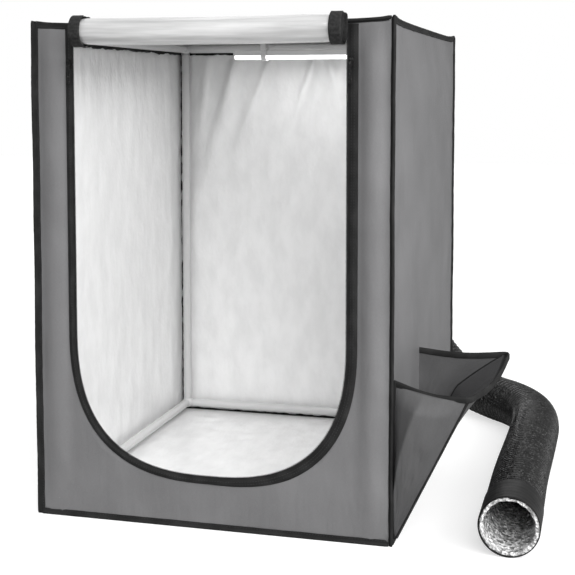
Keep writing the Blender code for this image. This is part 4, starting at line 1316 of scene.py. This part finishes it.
corner_columns = [POCKET_STEPS[0], POCKET_STEPS[0] + POCKET_STEPS[1]]
beads = []
for seed, column in enumerate(corner_columns):
    path = [outer[r * columns + column] + rim_out[column] * 0.0006 for r in range(1, pocket_rows)]
    beads.append(bead(seed, path, 0.0022, 10))
for seed, column in enumerate((0, columns - 1)):
    side = -1 if column == 0 else 1
    path = [outer[r * columns + column] + np.array((0.0008, side * 0.0010, 0)) for r in range(pocket_rows)]
    beads.append(bead(seed + 5, path, 0.0020, 8))
beads.append(bead(9, [outer[(pocket_rows - 1) * columns + k] for k in range(columns)], 0.0020, 8))
seams = add_piece("pocket_seams", ribbon_mesh("pocket_seams", *beads), [tape_black], "tent")

# the rim's tape is folded over the raw edge: a flat band on both sides with a round fold on top
fold = [(0.0014, -RIM_TALL), (0.0019, -RIM_TALL + 0.0008), (0.0019, -0.0018), (0.0015, -0.0004),
        (0.0004, 0.0004),
        (-0.0008, 0.0004), (-0.0018, -0.0006), (-0.0021, -0.0020), (-0.0021, -RIM_TALL + 0.0008),
        (-0.0016, -RIM_TALL)]
points, cut, walked = [], [], 0.0
spots, ways, outs_at = [], [], []
for k, spot in enumerate(rim_line):
    walked += float(np.linalg.norm(rim_line[k] - rim_line[k - 1])) if k else 0.0
    for i, (out, up) in enumerate(fold):
        ripple = 0.0003 * soft(walked, i, 90, 0.6, 111)
        points.append(spot + rim_out[k] * (out + ripple) + Z_AXIS * (up + 0.0008))
        cut.append((walked, i * 0.002, 0))
faces = grid_faces(len(rim_line), len(fold), wrap_columns=True)
faces += [list(range(len(fold)))[::-1], list(range(len(points) - len(fold), len(points)))]
rim_walk = np.concatenate([[0], np.cumsum(np.linalg.norm(np.diff(rim_line, axis=0), axis=1))])
for walked in np.arange(0.004, rim_walk[-1] - 0.004, STITCH_PITCH):
    spot, out, ahead = (
        np.array([np.interp(at, rim_walk, data[:, i]) for i in range(3)])
        for at, data in ((walked, rim_line), (walked, rim_out), (walked + 0.002, rim_line))
    )
    way = (ahead - spot) / np.linalg.norm(ahead - spot)
    for face in (1, -1):
        spots.append(spot + out * (0.0019 if face > 0 else -0.0021) - Z_AXIS * (RIM_TALL - 0.0026))
        ways.append(way)
        outs_at.append(out * face)
stitch_points, stitch_cut, stitch_faces = [], [], []
add_stitches(stitch_points, stitch_faces, stitch_cut, spots, ways, outs_at)
mesh = ribbon_mesh("pocket_rim_tape", (points, cut, faces), (stitch_points, stitch_cut, stitch_faces))
rim_tape = add_piece("pocket_rim_tape", mesh, [tape_black], "tent", ["pocket_rim"])

# ================================================================ shadow strip under the roof
# Inside, a strip of the same black tape droops in waves out of the gathers between the roof tubes and the walls,
# on all sides but the front. It is drawn as the roof seam's bound raw edge, but it is a dark strip put where the
# shadow under the
# tubes falls: painted shadow.
rail_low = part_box("top_rail_left")[0][2]
roof_shadow_strips = []
for seed, along, out, reach, half in ((3, Y_AXIS, -X_AXIS, HALF_X, HALF_Y),
                                      (5, X_AXIS, Y_AXIS, HALF_Y, HALF_X),
                                      (8, Y_AXIS, X_AXIS, HALF_X, HALF_Y)):
    path = []
    for walked in np.arange(-half + 0.022, half - 0.022, 0.0035):
        droop = 0.0036 * soft(walked, 0, 24, 0, seed) + 0.0018 * soft(walked, 0, 80, 0, seed + 20)
        gap = 0.0078 + 0.0016 * soft(walked, 0, 40, 0, seed + 40)
        path.append(along * walked + out * (reach - gap) + Z_AXIS * (rail_low + 0.0005 + droop))
    roof_shadow_strips.append(bead(seed, path, 0.0048, 10, 0.14, out=Z_AXIS))
add_piece("roof_tube_shadow_strip", ribbon_mesh("roof_tube_shadow_strip", *roof_shadow_strips), [tape_black], "tent")

# ================================================================ exhaust sleeve and clamp
# A short cloth sleeve is sewn round the vent hole in the back wall. The duct pushes into it, and a steel
# worm-drive clamp gathers the cloth onto the duct.
SLEEVE_END_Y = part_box("vent_sleeve")[1][1]
CLAMP_Y = (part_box("clamp_band")[0][1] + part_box("clamp_band")[1][1]) / 2
CLAMP_HALF = 0.0050
SLEEVE_WALL = 0.0011
SLEEVE_SIDES = 144
SLEEVE_ROWS = 40
vent_centre = np.array((VENT_X, 0, VENT_Z))
outer, inner, cut = [], [], []
for r in range(SLEEVE_ROWS):
    y = HALF_Y - 0.0030 + (SLEEVE_END_Y + 0.0030 - HALF_Y) * r / (SLEEVE_ROWS - 1)
    away = min(1.0, max(0.0, (abs(y - CLAMP_Y) - CLAMP_HALF) / 0.010)) ** 0.7
    off_wall = min(1.0, max(0.0, (y - HALF_Y) / 0.010))
    for k in range(SLEEVE_SIDES):
        angle = 2 * math.pi * k / SLEEVE_SIDES
        ring = (math.cos(angle) * 3, math.sin(angle) * 3)
        pleats = 0.5 + 0.5 * math.sin(21 * angle + 2.5 * soft(*ring, 1, 1, 121))
        swell = 0.0030 * away * off_wall * pleats * (0.7 + 0.5 * soft(*ring, 2, 2, 123))
        sag = 0.0010 * away * off_wall * soft(*ring, 1, 1, 125 + y * 30)
        radius = SLEEVE_R - 0.0002 + max(0.0, swell + sag)
        out = np.array((math.cos(angle), 0, math.sin(angle)))
        outer.append(vent_centre + out * radius + Y_AXIS * y)
        inner.append(vent_centre + out * (radius - SLEEVE_WALL) + Y_AXIS * y)
        cut.append((angle * SLEEVE_R, y, 0))
count = len(outer)
faces = grid_faces(SLEEVE_ROWS, SLEEVE_SIDES, wrap_columns=True)
faces += grid_faces(SLEEVE_ROWS, SLEEVE_SIDES, wrap_columns=True, first=count, flip=True)
last = (SLEEVE_ROWS - 1) * SLEEVE_SIDES
for k in range(SLEEVE_SIDES):
    m = (k + 1) % SLEEVE_SIDES
    faces.append([m, k, count + k, count + m])
    faces.append([last + k, last + m, count + last + m, count + last + k])
mesh = skin("vent_sleeve_cloth", outer + inner, 0, 0, cut=cut + cut, faces=faces)
sleeve = add_piece("vent_sleeve_cloth", mesh, [outer_cloth], "tent", ["vent_sleeve"])


def ring_path(radius, y, steps=97):
    angles = np.linspace(0, 2 * math.pi, steps)
    return [vent_centre + np.array((radius * math.cos(a), y, radius * math.sin(a))) for a in angles]


def bound_ring(name, path, radius, squash):
    """A closed bound edge: the path ends where it starts."""
    points, cut, faces = bead(7, path, radius, 10, squash, out=Y_AXIS)
    return ribbon_mesh(name, (points, cut, faces))


hem_mesh = bound_ring("vent_sleeve_hem", ring_path(SLEEVE_R + 0.0022, SLEEVE_END_Y - 0.0016), 0.0018, 0.8)
hem = add_piece("vent_sleeve_hem", hem_mesh, [tape_black], "tent")
collar_mesh = bound_ring("vent_collar", ring_path(SLEEVE_R + 0.0030, HALF_Y + 0.0004), 0.0012, 2.9)
collar = add_piece("vent_collar", collar_mesh, [tape_black], "tent")

bright_steel = Finish("bright_steel", (0.58, 0.58, 0.59), 0.28, Metallic=1.0)
steel_place = bright_steel.place()
steel_lines = bright_steel.noise(bright_steel.place((40.0, 1400.0, 40.0)), 1.0, detail=2.0)
bright_steel.bump(steel_lines, 0.00015)
bright_steel.feed("Roughness", 0.22 + 0.22 * bright_steel.noise(steel_place, 160.0))
bright_steel.feed("Base Color", bright_steel.mix(steel_lines, grey(0.48), grey(0.66)))

BAND_SIDES, THREADS = 720, 96
band_low, band_high = SLEEVE_R + 0.0003, SLEEVE_R + 0.0013
band_across = np.linspace(-CLAMP_HALF, CLAMP_HALF, 11)
points = []
for y in band_across:
    for k in range(BAND_SIDES):
        angle = 2 * math.pi * k / BAND_SIDES
        thread_turn = (angle * THREADS / (2 * math.pi) + y * 60) % 1.0
        cut_in = 0.00045 if abs(y) < 0.0033 and thread_turn < 0.45 else 0.0
        rolled = 0.0003 if abs(y) > 0.0045 else 0.0
        radius = band_high - cut_in - rolled
        points.append((VENT_X + radius * math.cos(angle), CLAMP_Y + y, VENT_Z + radius * math.sin(angle)))
for y in (CLAMP_HALF, -CLAMP_HALF):
    for k in range(BAND_SIDES):
        angle = 2 * math.pi * k / BAND_SIDES
        points.append((VENT_X + band_low * math.cos(angle), CLAMP_Y + y, VENT_Z + band_low * math.sin(angle)))
band = skin("band", points, 13, BAND_SIDES, wrap_rows=True, wrap_columns=True)
bm = bmesh.new()
bm.from_mesh(band)
screw_low, screw_high = (Vector(c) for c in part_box("clamp_screw"))
SCREW_Z = (screw_low.z + screw_high.z) / 2
bore = arc(0, 0.0, 0.0031, 0, 345, 24)
# the housing is a pressed saddle round the screw: two side cheeks and a bridge over the thread
cheek = plate([(-0.0055, -0.0040), (0.0055, -0.0040), (0.0050, 0.0022), (0.0030, 0.0042), (-0.0030, 0.0042),
               (-0.0050, 0.0022)], [bore], 0.0016, 0.0003)
cheek.transform(Matrix.Rotation(math.radians(90), 4, "Z"))
second = cheek.copy()
put(bm, cheek, (VENT_X - 0.0060, CLAMP_Y, SCREW_Z))
put(bm, second, (VENT_X + 0.0060, CLAMP_Y, SCREW_Z))
bridge = bmesh.new()
profile = arc(0, 0, 0.0044, 35, 145, 12) + arc(0, 0, 0.0036, 145, 35, 12)
rows = []
for x in (-0.0056, 0.0056):
    rows.append([bridge.verts.new((x, y, z)) for y, z in profile])
bridge.faces.new(rows[0])
bridge.faces.new(rows[1][::-1])
for i in range(len(profile)):
    j = (i + 1) % len(profile)
    bridge.faces.new((rows[0][i], rows[0][j], rows[1][j], rows[1][i]))
bmesh.ops.recalc_face_normals(bridge, faces=bridge.faces)
put(bm, bridge, (VENT_X, CLAMP_Y, SCREW_Z))
bpy.data.meshes.remove(band)
add_piece("clamp_band_steel", finished("clamp_band_steel", bm), [bright_steel], "tent",
          ["clamp_band"])

# The screw is turned steel: a rolled thread, a washer face and a slotted hexagon head.
bm = bmesh.new()
rows = []
SCREW_SIDES = 24
for k in range(111):
    x = screw_low.x + (screw_high.x - 0.0040 - screw_low.x) * k / 110
    row = []
    for i in range(SCREW_SIDES):
        angle = 2 * math.pi * i / SCREW_SIDES
        groove = 0.5 + 0.5 * math.sin(2 * math.pi * (x / 0.0016) - angle)
        taper = min(1.0, (x - screw_low.x) / 0.0012 + 0.75)
        radius = (0.0022 + 0.0005 * groove) * taper
        row.append(bm.verts.new((x, CLAMP_Y + radius * math.cos(angle), SCREW_Z + radius * math.sin(angle))))
    rows.append(row)
for a, b in zip(rows, rows[1:]):
    for i in range(SCREW_SIDES):
        j = (i + 1) % SCREW_SIDES
        bm.faces.new((a[i], a[j], b[j], b[i]))
bm.faces.new(rows[0][::-1])
bm.faces.new(rows[-1])
hexagon = arc(0, 0, 0.0040, 0, 300, 6)
head = plate(hexagon, [], 0.0026, 0.00035)
head.transform(Matrix.Rotation(math.radians(90), 4, "Z"))
put(bm, head, (screw_high.x - 0.0019, CLAMP_Y, SCREW_Z))
washer = plate(arc(0, 0, 0.0046, 0, 345, 24), [], 0.0008, 0.0002)
washer.transform(Matrix.Rotation(math.radians(90), 4, "Z"))
put(bm, washer, (screw_high.x - 0.0036, CLAMP_Y, SCREW_Z))
for side in (-1, 1):
    half_head = plate([(-0.0028, 0.0006), (0.0028, 0.0006), (0.0024, 0.0026), (-0.0024, 0.0026)], [], 0.0007,
                      0.0001)
    if side < 0:
        bmesh.ops.rotate(half_head, verts=half_head.verts, matrix=Matrix.Rotation(math.pi, 3, "Y"))
    half_head.transform(Matrix.Rotation(math.radians(90), 4, "Z"))
    put(bm, half_head, (screw_high.x - 0.00035, CLAMP_Y, SCREW_Z))
bmesh.ops.recalc_face_normals(bm, faces=bm.faces)
add_piece("clamp_screw_steel", finished("clamp_screw_steel", bm), [bright_steel], "screw",
          ["clamp_screw"])

# ================================================================ lead port and its flap
# A lead enters low in the back wall through a bound slot. A cloth flap sewn along its upper edge hangs over
# the slot.
port_path = []
for angle in np.linspace(0, 2 * math.pi, 73):
    c, s = math.cos(angle), math.sin(angle)
    reach = ((abs(c) / PORT_HALF[0]) ** 4 + (abs(s) / PORT_HALF[1]) ** 4) ** -0.25
    port_path.append(np.array((PORT_X + c * reach * 1.04, HALF_Y - 0.0002, PORT_Z + s * reach * 1.06)))
port_mesh = bound_ring("port_binding", port_path, 0.0011, 2.4)
add_piece("port_binding", port_mesh, [tape_black], "tent")

flap_low, flap_high = (np.array(c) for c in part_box("cable_flap"))
flap_half = (flap_high[0] - flap_low[0]) / 2
flap_tall = flap_high[2] - flap_low[2]
flap_middle = np.array(((flap_low[0] + flap_high[0]) / 2, flap_low[1] + 0.0012, (flap_low[2] + flap_high[2]) / 2))


def flap_relief(u, v):
    down = 0.5 - v / flap_tall
    return 0.0032 * down**2 + 0.0010 * down * soft(u, v, 28, 20, 131) + 0.0012 * down * (u / flap_half) ** 2


columns, rows = 34, 24
flap_us = np.linspace(-flap_half, flap_half, columns)
flat = [(u, v) for v in np.linspace(-flap_tall / 2, flap_tall / 2, rows) for u in flap_us]
mesh, _ = sheet_mesh("lead_flap_cloth", flat, grid_faces(rows, columns), flap_middle, -X_AXIS, Z_AXIS,
                     flap_relief,
                     lambda u, v: 0.0, hang=lambda spot: spot)
flap = add_piece("lead_flap_cloth", mesh, [outer_cloth], "flap", ["cable_flap"])
edge = [(-flap_half, v) for v in np.linspace(flap_tall / 2, -flap_tall / 2, 20)]
edge += [(u, -flap_tall / 2) for u in np.linspace(-flap_half, flap_half, 28)[1:]]
edge += [(flap_half, v) for v in np.linspace(-flap_tall / 2, flap_tall / 2, 20)[1:]]
edge += [(u, flap_tall / 2) for u in np.linspace(flap_half, -flap_half, 28)[1:]]
edge_path = []
for u, v in edge:
    edge_path.append(flap_middle - X_AXIS * u + Z_AXIS * v + Y_AXIS * (flap_relief(u, v) - CLOTH_THICK / 2))
edge_path = np.array(edge_path)
for _ in range(2):
    edge_path[1:-1] = edge_path[1:-1] * 0.5 + (edge_path[:-2] + edge_path[2:]) * 0.25
flap_edge_mesh = bound_ring("lead_flap_edge", edge_path, 0.0012, 2.2)
flap_edge = add_piece("lead_flap_edge", flap_edge_mesh, [tape_black], "flap")

# ================================================================ light bar
# An aluminium channel carries a strip of LEDs behind a milky half-round diffuser. Two cloth loops hang it
# from the roof.
tray_low, tray_high = (Vector(c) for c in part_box("light_tray"))
BAR_X, BAR_Y = (tray_low.x + tray_high.x) / 2, (tray_low.y + tray_high.y) / 2
BAR_HALF = (tray_high.x - tray_low.x) / 2
LED_PITCH = 0.0166
LOOP_TOP = 0.0062  # from the flat roof down to where a loop is sewn on
LOOP_INSET = 0.0055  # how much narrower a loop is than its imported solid, on each side
LOOP_SIDE = 0.0085  # height of the straight sides' lower ends over the loop's hanging height
LOOP_DROP = 0.0092  # depth of the rounded bottom
LOOP_SPREAD = 0.0030  # how much wider a loop is at the roof, on each side

aluminium = Finish("brushed_aluminium", (0.72, 0.72, 0.73), 0.30, Metallic=1.0)
brushed = aluminium.noise(aluminium.place((30.0, 2200.0, 2200.0)), 1.0, detail=2.0)
aluminium.bump(brushed, 0.0001)
aluminium.feed("Roughness", 0.26 + 0.2 * brushed)
aluminium.feed("Base Color", aluminium.mix(brushed, grey(0.62), grey(0.80)))

milky = Finish("milky_diffuser", (0.92, 0.92, 0.92), 0.35, Emission_Strength=2.2)
milky_x, _, _ = milky.parts(milky.place())
glow = 0.5 + 0.5 * (milky_x * (2 * math.pi / LED_PITCH)).sine()
milky.feed("Emission Color", milky.mix(glow, grey(0.82), grey(1.0)))
milky.feed("Roughness", 0.30 + 0.1 * milky.noise(milky.place(), 300.0))


def extrude_x(bm, outline, x0, x1):
    """A bar along X from an outline of (y, z) points."""
    rows = [[bm.verts.new((x, y, z)) for y, z in outline] for x in (x0, x1)]
    bm.faces.new(rows[0])
    bm.faces.new(rows[1][::-1])
    for i in range(len(outline)):
        j = (i + 1) % len(outline)
        bm.faces.new((rows[0][i], rows[0][j], rows[1][j], rows[1][i]))


wall, lip = 0.0011, 0.0016
half_y, base_z, top_z = (tray_high.y - tray_low.y) / 2, tray_low.z, tray_high.z
channel = [(-half_y, base_z), (-half_y, top_z - 0.0010), (-half_y + 0.0010, top_z)]
for k in range(4):
    fin = -half_y + 0.0030 + k * 0.0028
    channel += [(fin - 0.0005, top_z), (fin - 0.0003, top_z - 0.0008), (fin + 0.0003, top_z - 0.0008),
                (fin + 0.0005, top_z)]
channel += [(half_y - 0.0010, top_z), (half_y, top_z - 0.0010), (half_y, base_z), (half_y - lip, base_z),
            (half_y - lip, base_z + 0.0008), (half_y - wall, base_z + 0.0012),
            (half_y - wall, top_z - 0.0032),
            (-half_y + wall, top_z - 0.0032), (-half_y + wall, base_z + 0.0012),
            (-half_y + lip, base_z + 0.0008),
            (-half_y + lip, base_z)]
bm = bmesh.new()
extrude_x(bm, [(BAR_Y + y, z) for y, z in channel], tray_low.x + 0.0025, tray_high.x - 0.0025)
bmesh.ops.recalc_face_normals(bm, faces=bm.faces)
bmesh.ops.triangulate(bm, faces=[f for f in bm.faces if len(f.verts) > 4])
add_piece("light_channel", finished("light_channel", bm), [aluminium], "tent", ["light_tray"])

bm = bmesh.new()
under = np.linspace(math.pi, 2 * math.pi, 13)
cap = [(half_y * math.cos(a), base_z - 0.0002 + 0.0074 * math.sin(a)) for a in under]
cap += [(half_y, top_z - 0.0010), (half_y - 0.0010, top_z), (-half_y + 0.0010, top_z),
        (-half_y, top_z - 0.0010)]
for x0, x1 in ((tray_low.x, tray_low.x + 0.0024), (tray_high.x - 0.0024, tray_high.x)):
    extrude_x(bm, [(BAR_Y + y, z) for y, z in cap], x0, x1)
bmesh.ops.recalc_face_normals(bm, faces=bm.faces)
rims = [e for e in bm.edges if len(e.link_faces) == 2 and e.calc_face_angle() > 1.2]
bmesh.ops.bevel(bm, geom=rims, offset=0.0004, segments=2, affect="EDGES", clamp_overlap=True)
add_piece("light_end_caps", finished("light_end_caps", bm), [moulded], "tent")

bm = bmesh.new()
under = np.linspace(math.pi, 2 * math.pi, 17)
lens = [(0.0068 * math.cos(a), base_z - 0.0003 + 0.0070 * math.sin(a)) for a in under]
lens += [(0.0060, base_z - 0.0003), (0.0052, base_z + 0.0016), (-0.0052, base_z + 0.0016),
         (-0.0060, base_z - 0.0003)]
extrude_x(bm, [(BAR_Y + y, z) for y, z in lens], tray_low.x + 0.0027, tray_high.x - 0.0027)
bmesh.ops.recalc_face_normals(bm, faces=bm.faces)
add_piece("light_lens", finished("light_lens", bm), [milky], "tent", ["light_diffuser"])

for hand in ("left", "right"):
    low, high = (np.array(c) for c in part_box("light_strap_" + hand))
    x0, x1 = low[0] + LOOP_INSET, high[0] - LOOP_INSET
    hang_y, drop = (high[1] - low[1]) / 2 - 0.0006, low[2] + 0.0010
    tall = high[2] - LOOP_TOP - drop - LOOP_SIDE
    path, outs = [], []
    for t in np.linspace(0, 1, 12):
        path.append(np.array((0, BAR_Y - hang_y - LOOP_SPREAD * (1 - t) ** 2, high[2] - LOOP_TOP - t * tall)))
        outs.append(-Y_AXIS)
    for a in np.linspace(math.pi, 2 * math.pi, 16):
        path.append(np.array((0, BAR_Y + hang_y * math.cos(a), drop + LOOP_SIDE + LOOP_DROP * math.sin(a))))
        outs.append(np.array((0, math.cos(a), math.sin(a))))
    for t in np.linspace(1, 0, 12):
        path.append(np.array((0, BAR_Y + hang_y + LOOP_SPREAD * (1 - t) ** 2, high[2] - LOOP_TOP - t * tall)))
        outs.append(Y_AXIS)
    loop = ribbon("loop", path, outs, x0, x1, 0.0009)
    add_piece(f"light_loop_{hand}", ribbon_mesh(f"light_loop_{hand}", loop), [door_film], "tent",
              ["light_strap_" + hand])


def add_lamp(name, kind, energy, place, aim=None, **settings):
    """A lamp at a place that shines towards an aim, or straight down."""
    data = bpy.data.lights.new(name, kind)
    data.energy = energy
    for key, setting in settings.items():
        setattr(data, key, setting)
    lamp = bpy.data.objects.new(name, data)
    lamp.location = place
    if aim is not None:
        lamp.rotation_euler = (Vector(place) - Vector(aim)).to_track_quat("Z", "Y").to_euler()
    bpy.context.scene.collection.objects.link(lamp)
    return lamp


LED_DROP = 0.0085  # how far the lamp is under the channel
LED_WIDE = 0.012
add_lamp("bar_glow", "AREA", 0.22, (BAR_X, BAR_Y, tray_low.z - LED_DROP), shape="RECTANGLE",
         size=2 * BAR_HALF - 0.01, size_y=LED_WIDE, spread=math.radians(170))
# The rest of the bar's light comes off the white film all round, so a broad lamp under the roof stands in
# for it.
bounce = add_lamp("film_bounce", "AREA", 0.80, (0, -0.06, tray_low.z - 0.03), size=0.36,
                  spread=math.radians(180))
bounce.visible_camera = False

# ================================================================ stage and light
# A plain white floor runs out past the view. A large soft sun stands at the upper front right, a panel
# light close to the right side and a weak fill behind, in an even white surround that looks brighter than
# it lights.
FLOOR = 9.0  # half its width
floor_mesh = bpy.data.meshes.new("floor")
floor_mesh.from_pydata([(-FLOOR, -FLOOR, 0), (FLOOR, -FLOOR, 0), (FLOOR, FLOOR, 0), (-FLOOR, FLOOR, 0)], [],
                       [(0, 1, 2, 3)])
floor = bpy.data.objects.new("floor", floor_mesh)
bpy.context.scene.collection.objects.link(floor)
FLOOR_GLOW = 0.62  # to the camera only, so that the floor is as white as the background without lighting the tent
floor_paint = Finish("floor_paint", (0.50, 0.50, 0.50), 0.70, Specular_IOR_Level=0.2,
                     Emission_Strength=FLOOR_GLOW)
floor_paint.feed("Emission Color", floor_paint.node("ShaderNodeLightPath"))
floor_paint.feed("Roughness", 0.6 + 0.1 * floor_paint.noise(floor_paint.place(), 3.0))
floor_mesh.materials.append(floor_paint.material)


SUN_FROM = (0.40, -0.72, 0.56)
FILL_FROM = (-0.45, 0.75, 0.45)
SIDE_PLACE, SIDE_AIM = (1.45, -0.72, 0.80), (0.27, -0.25, 0.35)
add_lamp("soft_sun", "SUN", 3.1, SUN_FROM, (0, 0, 0), angle=math.radians(50))
add_lamp("side_light", "AREA", 12.0, SIDE_PLACE, SIDE_AIM, size=0.6)
add_lamp("back_fill", "SUN", 0.8, FILL_FROM, (0, 0, 0), angle=math.radians(70))
SURROUND_LIGHT = 0.40  # how bright the surround is to everything but the camera
world = bpy.data.worlds.new("surround")
bpy.context.scene.world = world
world.use_nodes = True
surround = world.node_tree.nodes["Background"]
surround.inputs["Color"].default_value = (1, 1, 1, 1)
seen = world.node_tree.nodes.new("ShaderNodeLightPath")
strength = world.node_tree.nodes.new("ShaderNodeMapRange")
strength.inputs["To Min"].default_value = SURROUND_LIGHT
world.node_tree.links.new(seen.outputs["Is Camera Ray"], strength.inputs["Value"])
world.node_tree.links.new(strength.outputs[0], surround.inputs["Strength"])
bpy.context.scene.view_settings.view_transform = "Standard"
